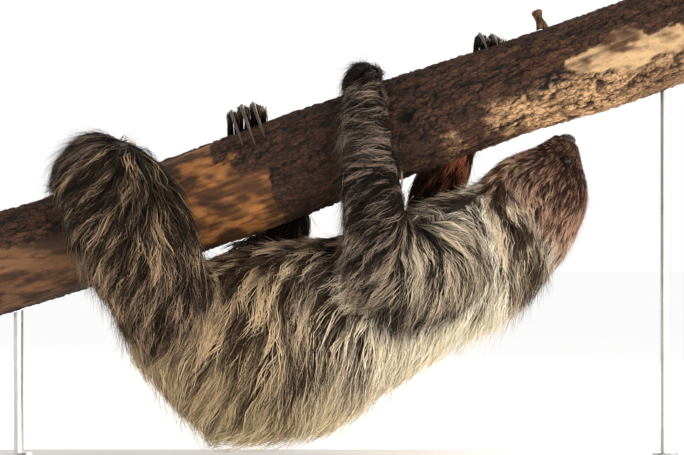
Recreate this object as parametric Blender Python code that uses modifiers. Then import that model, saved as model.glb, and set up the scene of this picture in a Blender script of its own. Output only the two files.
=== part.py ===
"""Two-toed sloth hanging under a cut length of branch, life size, on a plain display stand.

Metres, +Z up. The head points along +X, the belly is up, and the animal's left side faces -Y.
Z = 0 is the floor under the stand, and the origin is the middle of the stand's base.
Every solid of the animal is its true outline out to the tips of the coat.
"""

import math

import bmesh
import bpy
import numpy as np

OBJECT_NAME = "hanging_sloth"
GAP = 0.0003                    # left between touching pieces

# Stand
BASE_SIZE = (0.92, 0.36, 0.018)
BASE_CORNER = 0.045             # radius of the base's corners in plan
BASE_EDGE = 0.003               # width of the bevel round its top edge
ROD_X = 0.388                   # the two rods stand at -ROD_X and +ROD_X
ROD_RADIUS = 0.006
COLLAR_RADIUS = 0.016
COLLAR_HEIGHT = 0.012

# Perch: its centre-line (x, z) in the plane Y = 0, with its radius there
PERCH_LINE = (
    (-0.438, 0.247, 0.0605),
    (-0.250, 0.306, 0.0605),
    (-0.140, 0.343, 0.0625),
    (0.000, 0.395, 0.0615),
    (0.120, 0.438, 0.0600),
    (0.210, 0.468, 0.0575),
    (0.310, 0.500, 0.0600),
    (0.438, 0.548, 0.0605),
)
PERCH_RINGS = 16
PERCH_SIDES = 26
TWIG_X = 0.258                  # where the broken twig stands on the perch
TWIG_LEAN = 0.04                # how far its direction turns from the perch's normal, radians
TWIG_LENGTH = 0.029
TWIG_RADIUS = 0.0062

# Body from rump to nose. Each row is one section across the animal: the belly side (x, z),
# the back side (x, z) and half its width. A part runs between two row numbers.
BODY_ROWS = (
    (-0.273, 0.212, -0.272, 0.185, 0.020),
    (-0.262, 0.229, -0.262, 0.148, 0.052),
    (-0.238, 0.238, -0.235, 0.114, 0.078),
    (-0.203, 0.250, -0.199, 0.072, 0.095),
    (-0.160, 0.265, -0.158, 0.047, 0.105),
    (-0.115, 0.278, -0.114, 0.038, 0.111),
    (-0.062, 0.288, -0.062, 0.041, 0.113),
    (-0.016, 0.291, -0.008, 0.052, 0.112),
    (0.024, 0.300, 0.038, 0.085, 0.109),
    (0.064, 0.319, 0.085, 0.118, 0.106),
    (0.101, 0.337, 0.129, 0.143, 0.101),
    (0.136, 0.347, 0.171, 0.168, 0.092),
    (0.162, 0.356, 0.209, 0.190, 0.081),
    (0.177, 0.370, 0.240, 0.217, 0.068),
    (0.190, 0.382, 0.267, 0.260, 0.058),
    (0.206, 0.389, 0.289, 0.303, 0.051),
    (0.223, 0.394, 0.297, 0.334, 0.045),
    (0.237, 0.400, 0.294, 0.356, 0.036),
    (0.247, 0.406, 0.288, 0.376, 0.026),
    (0.253, 0.409, 0.285, 0.390, 0.0185),
    (0.256, 0.413, 0.284, 0.399, 0.0145),
    (0.260, 0.416, 0.282, 0.405, 0.011),
)
BODY_PARTS = (
    ("trunk", 0, 12, 19),
    ("neck", 12, 13.8, 6),
    ("head", 13.8, 18, 10),
    ("muzzle", 18, 20, 4),
    ("nose", 20, 21, 3),
)
BODY_SIDES = 28
BODY_ROUNDNESS = 2.15           # exponent of the section: 2 is an ellipse, more is squarer

# Limbs from the body outwards. A row is a point (x, y, z) and the half sizes of the section,
# along the perch and towards it. A grip row is instead (perch x, turn, height over the
# perch's surface), where turn is 0 degrees at -Y, 90 on top and 180 at +Y.
LEG_LEFT_ROWS = (
    (-0.183, -0.048, 0.150, 0.022, 0.018),
    (-0.190, -0.060, 0.170, 0.048, 0.036),
    (-0.201, -0.078, 0.200, 0.063, 0.046),
    (-0.213, -0.094, 0.230, 0.067, 0.046),
    (-0.224, -0.106, 0.256, 0.071, 0.043),
    (-0.236, -0.111, 0.286, 0.075, 0.044),
    (-0.254, -0.109, 0.322, 0.076, 0.043),
    (-0.270, -0.099, 0.356, 0.067, 0.037),
)
LEG_LEFT_GRIP = (
    (-0.276, 55, 0.0365, 0.053, 0.033),
    (-0.283, 85, 0.0290, 0.045, 0.028),
    (-0.281, 115, 0.0230, 0.039, 0.022),
    (-0.279, 142, 0.0165, 0.030, 0.0140),
)
LEG_LEFT_PARTS = (("thigh_left", 0, 4, 9), ("shank_left", 4, 7.5, 8), ("foot_left", 7.5, 11, 10))

LEG_RIGHT_ROWS = (
    (-0.178, 0.046, 0.190, 0.024, 0.020),
    (-0.166, 0.060, 0.203, 0.046, 0.036),
    (-0.142, 0.078, 0.225, 0.050, 0.040),
    (-0.110, 0.094, 0.250, 0.044, 0.036),
    (-0.080, 0.101, 0.276, 0.037, 0.033),
    (-0.066, 0.102, 0.306, 0.033, 0.031),
    (-0.073, 0.100, 0.340, 0.030, 0.029),
    (-0.090, 0.098, 0.375, 0.028, 0.028),
)
LEG_RIGHT_GRIP = (
    (-0.083, 158, 0.0275, 0.028, 0.026),
    (-0.086, 138, 0.0175, 0.027, 0.0170),
    (-0.088, 122, 0.0125, 0.023, 0.0125),
)
LEG_RIGHT_PARTS = (("thigh_right", 0, 4.5, 10), ("shank_right", 4.5, 7.5, 8), ("foot_right", 7.5, 10, 7))

ARM_LEFT_ROWS = (
    (0.043, -0.101, 0.205, 0.016, 0.012),
    (0.044, -0.101, 0.213, 0.034, 0.024),
    (0.044, -0.101, 0.230, 0.043, 0.029),
    (0.044, -0.100, 0.262, 0.046, 0.032),
    (0.042, -0.099, 0.305, 0.044, 0.032),
    (0.038, -0.098, 0.350, 0.040, 0.031),
    (0.033, -0.096, 0.400, 0.036, 0.030),
    (0.028, -0.090, 0.443, 0.032, 0.027),
)
ARM_LEFT_GRIP = (
    (0.046, 48, 0.0225, 0.028, 0.0215),
    (0.053, 72, 0.0165, 0.025, 0.0165),
    (0.056, 98, 0.0145, 0.022, 0.0150),
    (0.057, 126, 0.0105, 0.019, 0.0105),
)
ARM_LEFT_PARTS = (("forearm_left", 0, 7.5, 12), ("hand_left", 7.5, 11, 10))

ARM_RIGHT_ROWS = (
    (0.108, 0.094, 0.218, 0.016, 0.012),
    (0.107, 0.096, 0.227, 0.034, 0.024),
    (0.106, 0.099, 0.250, 0.041, 0.030),
    (0.109, 0.100, 0.290, 0.041, 0.032),
    (0.117, 0.099, 0.335, 0.038, 0.031),
    (0.130, 0.098, 0.380, 0.035, 0.030),
    (0.147, 0.096, 0.425, 0.031, 0.028),
)
ARM_RIGHT_GRIP = (
    (0.184, 165, 0.0275, 0.029, 0.0235),
    (0.191, 150, 0.0200, 0.027, 0.0180),
    (0.195, 136, 0.0130, 0.022, 0.0125),
)
ARM_RIGHT_PARTS = (("forearm_right", 0, 7.0, 11), ("hand_right", 7.0, 9, 7))

# Upper arms lie along the chest's flanks, from the elbow to the shoulder.
UPPER_ARM_ROWS = (
    (0.036, 0.092, 0.220, 0.020, 0.014),
    (0.052, 0.094, 0.227, 0.046, 0.030),
    (0.082, 0.093, 0.243, 0.062, 0.040),
    (0.112, 0.084, 0.258, 0.066, 0.043),
    (0.136, 0.071, 0.268, 0.060, 0.040),
    (0.155, 0.058, 0.277, 0.044, 0.030),
    (0.162, 0.052, 0.281, 0.018, 0.014),
)
UPPER_ARM_RINGS = 9
LIMB_SIDES = 14
FINE = 40                       # steps a row when a limb's path is smoothed

# Claws: (name, perch x, first turn, last turn, how far it bows out from the perch)
CLAWS = (
    ("claw_hand_left_1", 0.047, 126, 214, 0.003),
    ("claw_hand_left_2", 0.067, 126, 210, 0.003),
    ("claw_foot_left_1", -0.297, 142, 226, 0.004),
    ("claw_foot_left_2", -0.279, 142, 230, 0.004),
    ("claw_foot_left_3", -0.261, 142, 226, 0.004),
    ("claw_hand_right_1", 0.189, 136, 56, 0.009),
    ("claw_hand_right_2", 0.202, 136, 60, 0.004),
    ("claw_foot_right_1", -0.102, 122, 40, 0.016),
    ("claw_foot_right_2", -0.089, 122, 34, 0.018),
    ("claw_foot_right_3", -0.076, 122, 40, 0.016),
)
CLAW_BASE = (0.0042, 0.0050)    # half width and half depth where the claw leaves the flesh
CLAW_TIP = 0.0011
CLAW_ROOT = 6                   # degrees that a claw starts back inside the flesh
CLAW_HEIGHTS = (0.0105, 0.0040) # of its root and of its tip over the perch's surface
CLAW_SIDES = 8
CLAW_RINGS = 8

# Eyes and ears sit on the head and are mirrored to both sides.
EYE_CENTRE = (0.2665, 0.0305, 0.3790)
EYE_RADIUS = 0.0065
EAR_CENTRE = (0.2350, 0.0505, 0.3420)
EAR_SIZES = (0.0095, 0.0085, 0.0130)

# Finishes: colour, roughness and metallic value
FINISHES = {
    "coat": ((0.33, 0.25, 0.17), 0.85, 0.0),
    "limb_coat": ((0.13, 0.095, 0.065), 0.85, 0.0),
    "face_coat": ((0.16, 0.085, 0.045), 0.80, 0.0),
    "bare_skin": ((0.045, 0.032, 0.030), 0.45, 0.0),
    "claw_horn": ((0.060, 0.050, 0.042), 0.35, 0.0),
    "eye": ((0.020, 0.012, 0.008), 0.06, 0.0),
    "perch_wood": ((0.20, 0.105, 0.055), 0.90, 0.0),
    "stand_metal": ((0.42, 0.42, 0.41), 0.42, 1.0),
    "stand_paint": ((0.74, 0.73, 0.70), 0.50, 0.0),
}


def clear_scene():
    """Removes whatever the file opened with."""
    for thing in list(bpy.data.objects):
        bpy.data.objects.remove(thing, do_unlink=True)


def make_collection(name):
    """A new collection linked to the scene."""
    collection = bpy.data.collections.new(name)
    bpy.context.scene.collection.children.link(collection)
    return collection


def finish_of(name):
    """The material called name, made the first time it is asked for."""
    material = bpy.data.materials.get(name)
    if material is None:
        colour, roughness, metallic = FINISHES[name]
        material = bpy.data.materials.new(name)
        material.use_nodes = True
        shader = material.node_tree.nodes["Principled BSDF"]
        shader.inputs["Base Color"].default_value = (*colour, 1.0)
        shader.inputs["Roughness"].default_value = roughness
        shader.inputs["Metallic"].default_value = metallic
    return material


def add_piece(name, mesh, finish, collection):
    """An object holding mesh, in its collection and with its finish."""
    piece = bpy.data.objects.new(name, mesh)
    piece.data.materials.append(finish_of(finish))
    collection.objects.link(piece)
    return piece


def own_operator_result(name, finish, collection):
    """Names what a primitive operator just made, moves it to its collection and dresses it."""
    piece = bpy.context.object
    piece.name = piece.data.name = name
    piece.data.materials.append(finish_of(finish))
    for holder in list(piece.users_collection):
        holder.objects.unlink(piece)
    collection.objects.link(piece)
    return piece


def spline(rows, t):
    """Catmull-Rom curve through rows, whose row numbers are its parameter t."""
    rows = np.asarray(rows, float)
    t = np.clip(np.asarray(t, float), 0.0, len(rows) - 1.0)
    i = np.minimum(t.astype(int), len(rows) - 2)
    f = (t - i)[:, None]
    padded = np.vstack([2 * rows[0] - rows[1], rows, 2 * rows[-1] - rows[-2]])
    a, b, c, d = (padded[i + k] for k in range(4))
    return b + 0.5 * f * (c - a + f * (2 * a - 5 * b + 4 * c - d + f * (3 * (b - c) + d - a)))


def unit(v):
    """Each row of v at length 1."""
    return v / np.linalg.norm(v, axis=-1, keepdims=True)


def loft_mesh(name, rings):
    """A closed mesh through rings, an array (ring, point, xyz), with a flat cap at each end.

    Its sides are triangles, so that a grown copy folds along the same edges.
    """
    sides = rings.shape[1]
    work = bmesh.new()
    verts = [[work.verts.new(p) for p in ring] for ring in rings]
    for low, high in zip(verts, verts[1:]):
        for k in range(sides):
            n = (k + 1) % sides
            work.faces.new((low[k], low[n], high[n]))
            work.faces.new((low[k], high[n], high[k]))
    work.faces.new(verts[0][::-1])
    work.faces.new(verts[-1])
    bmesh.ops.recalc_face_normals(work, faces=work.faces)
    mesh = bpy.data.meshes.new(name)
    work.to_mesh(mesh)
    work.free()
    return mesh


def section(centre, across, along, half_across, half_along, sides, roundness):
    """Rings of a superellipse: one row of each argument for each ring."""
    turn = np.linspace(0.0, 2 * math.pi, sides, endpoint=False)
    shape = 2.0 / roundness
    c = np.sign(np.cos(turn)) * np.abs(np.cos(turn)) ** shape
    s = np.sign(np.sin(turn)) * np.abs(np.sin(turn)) ** shape
    return (centre[:, None]
            + across[:, None] * (half_across[:, None] * c)[..., None]
            + along[:, None] * (half_along[:, None] * s)[..., None])


def part_steps(first, last, rings):
    """The row numbers of a part's rings."""
    return np.linspace(first, last, rings)


def part_shifts(rings, inflate):
    """How far each ring moves along the path: half a gap inwards at both ends."""
    shifts = np.zeros(rings)
    shifts[0] = GAP / 2 - inflate
    shifts[-1] = inflate - GAP / 2
    return shifts[:, None]


def body_rings(first, last, rings, inflate=0.0):
    """Rings of the body between two rows of BODY_ROWS, grown by inflate."""
    rows = spline(BODY_ROWS, part_steps(first, last, rings))
    zero = np.zeros(rings)
    belly = np.stack([rows[:, 0], zero, rows[:, 1]], 1)
    back = np.stack([rows[:, 2], zero, rows[:, 3]], 1)
    up = unit(belly - back)
    forward = np.stack([up[:, 2], zero, -up[:, 0]], 1)
    centre = (belly + back) / 2 + forward * part_shifts(rings, inflate)
    side = np.tile((0.0, 1.0, 0.0), (rings, 1))
    half_height = np.linalg.norm(belly - back, axis=1) / 2 + inflate
    return section(centre, up, side, half_height, rows[:, 4] + inflate, BODY_SIDES, BODY_ROUNDNESS)


def perch_point(x):
    """The perch's centre, direction, normal and radius at each x of a list."""
    line = spline(PERCH_LINE, np.linspace(0, len(PERCH_LINE) - 1, 400))
    slope = np.gradient(line[:, 1], line[:, 0])
    x = np.asarray(x, float)
    z, radius = (np.interp(x, line[:, 0], line[:, k]) for k in (1, 2))
    angle = np.arctan(np.interp(x, line[:, 0], slope))
    zero = np.zeros_like(x)
    centre = np.stack([x, zero, z], -1)
    along = np.stack([np.cos(angle), zero, np.sin(angle)], -1)
    normal = np.stack([-np.sin(angle), zero, np.cos(angle)], -1)
    return centre, along, normal, radius


def grip_point(x, turn, height):
    """Points round the perch: turn in degrees from -Y over the top, height over its surface."""
    centre, _, normal, radius = perch_point(x)
    turn = np.radians(turn)
    distance = (radius + height)[:, None]
    side = np.array((0.0, -1.0, 0.0))
    return centre + distance * (np.cos(turn)[..., None] * side + np.sin(turn)[..., None] * normal)


def limb_rows(rows, grip_rows):
    """All rows of a limb as points: the grip rows follow the others."""
    if not grip_rows:
        return np.asarray(rows)
    grip = np.asarray(grip_rows, float)
    points = grip_point(grip[:, 0], grip[:, 1], grip[:, 2])
    return np.vstack([np.asarray(rows), np.hstack([points, grip[:, 3:]])])


def limb_frames(path):
    """Directions along a path and two directions across it, turned as little as possible."""
    tangent = unit(np.gradient(path, axis=0))
    depth = np.zeros_like(path)
    depth[0] = unit(np.array((0.0, 1.0, 0.0)) - tangent[0, 1] * tangent[0])
    for i in range(1, len(path)):
        axis = np.cross(tangent[i - 1], tangent[i])
        turned = depth[i - 1] + np.cross(axis, depth[i - 1])
        depth[i] = unit(turned - (turned @ tangent[i]) * tangent[i])
    return tangent, np.cross(depth, tangent), depth


def limb_path(rows):
    """A limb's rows drawn as a fine smooth run, FINE steps a row: a spline, then a running mean."""
    fine = spline(rows, np.linspace(0, len(rows) - 1, FINE * (len(rows) - 1) + 1))
    half = FINE // 2
    before = 2 * fine[0] - fine[half:0:-1]
    after = 2 * fine[-1] - fine[-2:-half - 2:-1]
    total = np.cumsum(np.vstack([0 * fine[:1], before, fine, after]), axis=0)
    return (total[2 * half + 1:] - total[:-2 * half - 1]) / (2 * half + 1)


def limb_rings(rows, first, last, rings, inflate=0.0):
    """Rings of a limb between two row numbers, grown by inflate."""
    path = limb_path(rows)
    picked = np.rint(part_steps(first, last, rings) * FINE).astype(int)
    tangent, across, depth = (f[picked] for f in limb_frames(path[:, :3]))
    at = path[picked]
    centre = at[:, :3] + tangent * part_shifts(rings, inflate)
    return section(centre, across, depth, at[:, 3] + inflate, at[:, 4] + inflate, LIMB_SIDES, 2.0)


def cut(piece, *cutters):
    """Takes each cutter's volume out of piece."""
    for cutter in cutters:
        boolean = piece.modifiers.new("clear_of_" + cutter.name, "BOOLEAN")
        boolean.operation = "DIFFERENCE"
        boolean.solver = "EXACT"
        boolean.object = cutter


def hide_cutter(cutter):
    """Keeps a cutter out of the render and shows it as a wire."""
    cutter.hide_render = True
    cutter.display_type = "WIRE"
    return cutter


def build_body(parts, cutters):
    """Trunk, neck, head, muzzle and nose, and the grown copies that cut their neighbours."""
    finishes = {
        "trunk": "coat",
        "neck": "coat",
        "head": "face_coat",
        "muzzle": "face_coat",
        "nose": "bare_skin",
    }
    pieces = {}
    for name, first, last, rings in BODY_PARTS:
        mesh = loft_mesh(name, body_rings(first, last, rings))
        pieces[name] = add_piece(name, mesh, finishes[name], parts)
    clear = {}
    for name, first, last, rings in BODY_PARTS[:3]:
        mesh = loft_mesh(name + "_clear", body_rings(first, last, rings, inflate=GAP))
        clear[name] = hide_cutter(add_piece(name + "_clear", mesh, "coat", cutters))
    return pieces, clear


def build_perch(parts, cutters):
    """The cut branch, its broken twig, and the grown copy that clears what meets it."""
    x = np.linspace(PERCH_LINE[0][0], PERCH_LINE[-1][0], PERCH_RINGS)
    centre, along, normal, radius = perch_point(x)
    side = np.tile((0.0, -1.0, 0.0), (PERCH_RINGS, 1))
    made = []
    for name, grow in (("perch", 0.0), ("perch_clear", GAP)):
        ends = part_shifts(PERCH_RINGS, grow)
        size = radius + grow
        mesh = loft_mesh(name, section(centre + along * ends, side, normal, size, size, PERCH_SIDES, 2.0))
        made.append(add_piece(name, mesh, "perch_wood", parts if grow == 0.0 else cutters))
    build_twig(parts, hide_cutter(made[1]))
    return made[1]


def build_twig(parts, perch_clear):
    """The stub of a twig with a knob at its end, standing on the perch."""
    centre, along, normal, radius = (v[0] for v in perch_point([TWIG_X]))
    direction = math.cos(TWIG_LEAN) * normal - math.sin(TWIG_LEAN) * along
    start = centre + normal * (radius - TWIG_RADIUS)
    reach = TWIG_LENGTH * np.array((0.0, 0.25, 0.5, 0.7, 0.82, 0.93, 1.0, 1.03))
    size = TWIG_RADIUS * np.array((1.7, 1.35, 0.85, 0.72, 1.05, 1.15, 0.85, 0.35))
    path = start + reach[:, None] * direction
    across = np.tile(np.cross((0.0, 1.0, 0.0), direction), (len(reach), 1))
    side = np.tile((0.0, 1.0, 0.0), (len(reach), 1))
    twig = add_piece("perch_twig", loft_mesh("perch_twig", section(path, across, side, size, size, 10, 2.0)),
                     "perch_wood", parts)
    cut(twig, perch_clear)


def build_limb(rows, limb_parts, parts, clears):
    """The nodes of one limb. clears gives, for a node's name, what is cut out of it."""
    for name, first, last, rings in limb_parts:
        mesh = loft_mesh(name, limb_rings(rows, first, last, rings))
        piece = add_piece(name, mesh, "limb_coat", parts)
        cut(piece, *clears.get(name, ()))


def clear_copy(name, rows, first, last, rings, cutters):
    """A grown copy of part of a limb, to clear its neighbours."""
    mesh = loft_mesh(name, limb_rings(rows, first, last, rings, inflate=GAP))
    return hide_cutter(add_piece(name, mesh, "limb_coat", cutters))


def mirrored(rows):
    """Limb rows on the other side of the animal."""
    return [(x, -y, *rest) for x, y, *rest in rows]


def build_claw(claw, parts, flesh):
    """One hooked claw round the perch, tapering to a blunt tip and rooted in the hand or foot."""
    name, perch_x, first, last, bow = claw
    t = np.linspace(0.0, 1.0, CLAW_RINGS)
    root = first - CLAW_ROOT * np.sign(last - first)
    turn = root + (last - root) * t
    height = CLAW_HEIGHTS[0] + (CLAW_HEIGHTS[1] - CLAW_HEIGHTS[0]) * t ** 1.6 + bow * np.sin(np.pi * t)
    path = grip_point(np.full(CLAW_RINGS, perch_x), turn, height)
    tangent = unit(np.gradient(path, axis=0))
    across = np.tile(perch_point([perch_x])[1], (CLAW_RINGS, 1))
    across = unit(across - np.sum(across * tangent, 1, keepdims=True) * tangent)
    depth = np.cross(tangent, across)
    taper = (1 - t) ** 0.7
    half_width = CLAW_TIP + (CLAW_BASE[0] - CLAW_TIP) * taper
    half_depth = CLAW_TIP + (CLAW_BASE[1] - CLAW_TIP) * taper
    rings = section(path, across, depth, half_width, half_depth, CLAW_SIDES, 2.0)
    cut(add_piece(name, loft_mesh(name, rings), "claw_horn", parts), flesh)


def add_ellipsoid(name, centre, sizes, finish, collection):
    """An ellipsoid from a sphere primitive, its sizes applied to the mesh."""
    bpy.ops.mesh.primitive_uv_sphere_add(segments=12, ring_count=7, radius=1.0)
    piece = own_operator_result(name, finish, collection)
    for vertex in piece.data.vertices:
        vertex.co = [c * s for c, s in zip(vertex.co, sizes)]
    piece.location = centre
    return piece


def build_eyes_and_ears(head, clear, parts, cutters):
    """An eye in a socket cut in the head, and an ear on it, on each side."""
    for side, name in ((-1, "left"), (1, "right")):
        centre = (EYE_CENTRE[0], side * EYE_CENTRE[1], EYE_CENTRE[2])
        add_ellipsoid("eye_" + name, centre, (EYE_RADIUS,) * 3, "eye", parts)
        socket = add_ellipsoid("eye_socket_" + name, centre, (EYE_RADIUS + GAP,) * 3, "eye", cutters)
        cut(head, hide_cutter(socket))
        centre = (EAR_CENTRE[0], side * EAR_CENTRE[1], EAR_CENTRE[2])
        ear = add_ellipsoid("ear_" + name, centre, EAR_SIZES, "face_coat", parts)
        cut(ear, clear)


def build_stand(parts, perch_clear):
    """A flat base with two rods up to the perch, each in a collar."""
    bpy.ops.mesh.primitive_cube_add(size=1.0)
    base = own_operator_result("stand_base", "stand_paint", parts)
    for vertex in base.data.vertices:
        vertex.co = [c * s for c, s in zip(vertex.co, BASE_SIZE)]
    base.location = (0.0, 0.0, BASE_SIZE[2] / 2)
    work = bmesh.new()
    work.from_mesh(base.data)
    upright = [e for e in work.edges if abs(e.verts[0].co.z - e.verts[1].co.z) > BASE_SIZE[2] / 2]
    bmesh.ops.bevel(work, geom=upright, offset=BASE_CORNER, segments=4, affect="EDGES", profile=0.5)
    top = [e for e in work.edges if all(v.co.z > 0 for v in e.verts)]
    bmesh.ops.bevel(work, geom=top, offset=BASE_EDGE, segments=2, affect="EDGES", profile=0.5)
    work.to_mesh(base.data)
    work.free()
    for side, name in ((-1, "left"), (1, "right")):
        x = side * ROD_X
        floor = BASE_SIZE[2] + GAP
        top = float(perch_point([x])[0][0][2])
        bpy.ops.mesh.primitive_cylinder_add(vertices=20, radius=ROD_RADIUS, depth=top - floor)
        rod = own_operator_result("stand_rod_" + name, "stand_metal", parts)
        rod.location = (x, 0.0, (top + floor) / 2)
        cut(rod, perch_clear)
        build_collar("stand_collar_" + name, x, floor, parts)


def build_collar(name, x, floor, parts):
    """A turned collar round a rod's foot: its profile swept round with a Screw modifier."""
    inner = ROD_RADIUS + GAP
    bevel = 0.002
    profile = ((inner, COLLAR_HEIGHT), (COLLAR_RADIUS - bevel, COLLAR_HEIGHT),
               (COLLAR_RADIUS, COLLAR_HEIGHT - bevel), (COLLAR_RADIUS, 0.0), (inner, 0.0))
    mesh = bpy.data.meshes.new(name)
    edges = [(i, (i + 1) % len(profile)) for i in range(len(profile))]
    mesh.from_pydata([(r, 0.0, z) for r, z in profile], edges, [])
    collar = add_piece(name, mesh, "stand_metal", parts)
    collar.location = (x, 0.0, floor)
    screw = collar.modifiers.new("turn", "SCREW")
    screw.steps = screw.render_steps = 16
    screw.use_merge_vertices = True
    screw.merge_threshold = 0.00005
    screw.use_normal_calculate = True


def main():
    """Builds the whole part."""
    clear_scene()
    parts = make_collection(OBJECT_NAME)
    cutters = make_collection(OBJECT_NAME + "_cutters")
    body, clear = build_body(parts, cutters)
    perch_clear = build_perch(parts, cutters)
    trunk, neck = clear["trunk"], clear["neck"]

    leg_left = limb_rows(LEG_LEFT_ROWS, LEG_LEFT_GRIP)
    build_limb(leg_left, LEG_LEFT_PARTS, parts, {"thigh_left": (trunk,), "foot_left": (perch_clear,)})
    leg_right = limb_rows(LEG_RIGHT_ROWS, LEG_RIGHT_GRIP)
    build_limb(leg_right, LEG_RIGHT_PARTS, parts, {"thigh_right": (trunk,), "foot_right": (perch_clear,)})
    arm_left = limb_rows(ARM_LEFT_ROWS, ARM_LEFT_GRIP)
    build_limb(arm_left, ARM_LEFT_PARTS, parts, {"forearm_left": (trunk,), "hand_left": (perch_clear,)})
    arm_right = limb_rows(ARM_RIGHT_ROWS, ARM_RIGHT_GRIP)
    build_limb(arm_right, ARM_RIGHT_PARTS, parts, {"forearm_right": (trunk,), "hand_right": (perch_clear,)})

    uppers = (("upper_arm_left", mirrored(UPPER_ARM_ROWS), arm_left, ARM_LEFT_PARTS[0]),
              ("upper_arm_right", UPPER_ARM_ROWS, arm_right, ARM_RIGHT_PARTS[0]))
    for name, rows, arm, forearm in uppers:
        forearm_clear = clear_copy(forearm[0] + "_clear", arm, *forearm[1:], cutters)
        whole = ((name, 0, len(rows) - 1, UPPER_ARM_RINGS),)
        build_limb(np.asarray(rows), whole, parts, {name: (trunk, neck, forearm_clear)})
    limbs = {"foot_left": (leg_left, LEG_LEFT_PARTS), "foot_right": (leg_right, LEG_RIGHT_PARTS),
             "hand_left": (arm_left, ARM_LEFT_PARTS), "hand_right": (arm_right, ARM_RIGHT_PARTS)}
    flesh = {end: clear_copy(end + "_clear", rows, *limb_parts[-1][1:], cutters)
             for end, (rows, limb_parts) in limbs.items()}
    for claw in CLAWS:
        build_claw(claw, parts, flesh[claw[0][5:-2]])
    build_eyes_and_ears(body["head"], clear["head"], parts, cutters)
    build_stand(parts, perch_clear)


if __name__ == "__main__":
    main()
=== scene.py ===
"""Looks of a life-size two-toed sloth model that hangs under a cut length of branch.

The CAD solids give the places and the outline out to the tips of the coat. Here one skin
takes the place of all the flesh and lies inside it by the depth of the coat. Over the skin
lie combed locks of solid strands. The branch gets real bark, and the claws, eyes, nose and
stand get finishes of their own.
"""

import logging
import math
from dataclasses import dataclass, field
from enum import Enum

import bpy
import numpy as np
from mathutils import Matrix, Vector
from mathutils.bvhtree import BVHTree


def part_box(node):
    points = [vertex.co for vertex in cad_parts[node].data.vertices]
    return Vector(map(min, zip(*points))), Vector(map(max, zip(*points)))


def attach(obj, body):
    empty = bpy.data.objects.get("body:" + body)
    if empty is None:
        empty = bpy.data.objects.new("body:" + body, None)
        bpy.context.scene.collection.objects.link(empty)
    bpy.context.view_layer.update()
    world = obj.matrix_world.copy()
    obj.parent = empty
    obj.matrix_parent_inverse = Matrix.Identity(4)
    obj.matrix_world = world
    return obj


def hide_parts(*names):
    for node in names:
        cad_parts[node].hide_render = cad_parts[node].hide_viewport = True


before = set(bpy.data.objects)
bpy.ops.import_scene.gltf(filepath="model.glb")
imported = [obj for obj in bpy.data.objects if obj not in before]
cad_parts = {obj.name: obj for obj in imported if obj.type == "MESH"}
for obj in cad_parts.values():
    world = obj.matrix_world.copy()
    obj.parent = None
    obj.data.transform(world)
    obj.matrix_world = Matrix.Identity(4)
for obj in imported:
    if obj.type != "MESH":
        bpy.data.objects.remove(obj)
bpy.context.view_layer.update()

LOG = logging.getLogger("sloth")
BAKE_MAP = "OFBake"
PATCH = 0.003  # side of a strand's patch on the bake map
FULL_TURN = 2.0 * math.pi
UP = np.array([0.0, 0.0, 1.0])


class Part(Enum):
    """The stretches of flesh that differ in coat, each with the nodes it is made of."""

    BODY = ("trunk", "neck")
    FACE = ("head", "muzzle", "ear_left", "ear_right")
    LEFT_LIMBS = ("thigh_left", "shank_left", "upper_arm_left", "forearm_left",
                  "foot_left", "hand_left")
    RIGHT_LIMBS = ("thigh_right", "shank_right", "upper_arm_right", "forearm_right",
                   "foot_right", "hand_right")


FLESH = tuple(node for part in Part for node in part.value)


# Pale colour, dark colour and share of pale hair at each place.
Tones = tuple[np.ndarray, np.ndarray, np.ndarray]


# ---------------------------------------------------------------- numbers and meshes


def paint(red: float, green: float, blue: float) -> np.ndarray:
    """Turn a colour in screen numbers from 0 to 255 into linear light.

    Args:
        red: Screen red.
        green: Screen green.
        blue: Screen blue.

    Returns:
        Three linear numbers from 0 to 1.
    """
    value = np.array([red, green, blue]) / 255.0
    return np.where(value <= 0.04045, value / 12.92, ((value + 0.055) / 1.055) ** 2.4)


def unit(vectors: np.ndarray) -> np.ndarray:
    """Return the vectors scaled to length one."""
    return vectors / np.maximum(np.linalg.norm(vectors, axis=-1, keepdims=True), 1e-9)


def ease(low: float, high: float, value: np.ndarray) -> np.ndarray:
    """Return 0 below low and 1 above high, with the cubic 3t^2 - 2t^3 between."""
    t = np.clip((value - low) / (high - low), 0.0, 1.0)
    return t * t * (3.0 - 2.0 * t)


def mix(first: np.ndarray, second: np.ndarray, share: np.ndarray) -> np.ndarray:
    """Return first where share is 0 and second where it is 1."""
    return first + (second - first) * share


def squared(value: np.ndarray, power: float = 0.8) -> np.ndarray:
    """Return a sine or cosine with its size raised to the power, which squares a round."""
    return np.sign(value) * np.abs(value) ** power


def lattice(cells: np.ndarray, seed: int) -> np.ndarray:
    """Give each whole-numbered cell a value from 0 to 1 by mixing the bits of its numbers.

    Args:
        cells: Whole numbers, three to a row.
        seed: Picks another set of values.

    Returns:
        One value for each row.
    """
    whole = cells.astype(np.int64)
    mixed = (whole[..., 0] * 73856093) ^ (whole[..., 1] * 19349663)
    mixed = mixed ^ (whole[..., 2] * 83492791) ^ np.int64(seed * 26544357)
    mixed = (mixed ^ (mixed >> 13)) * 1274126177
    mixed = mixed ^ (mixed >> 16)
    return (mixed & 0xFFFF) / 65535.0


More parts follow.
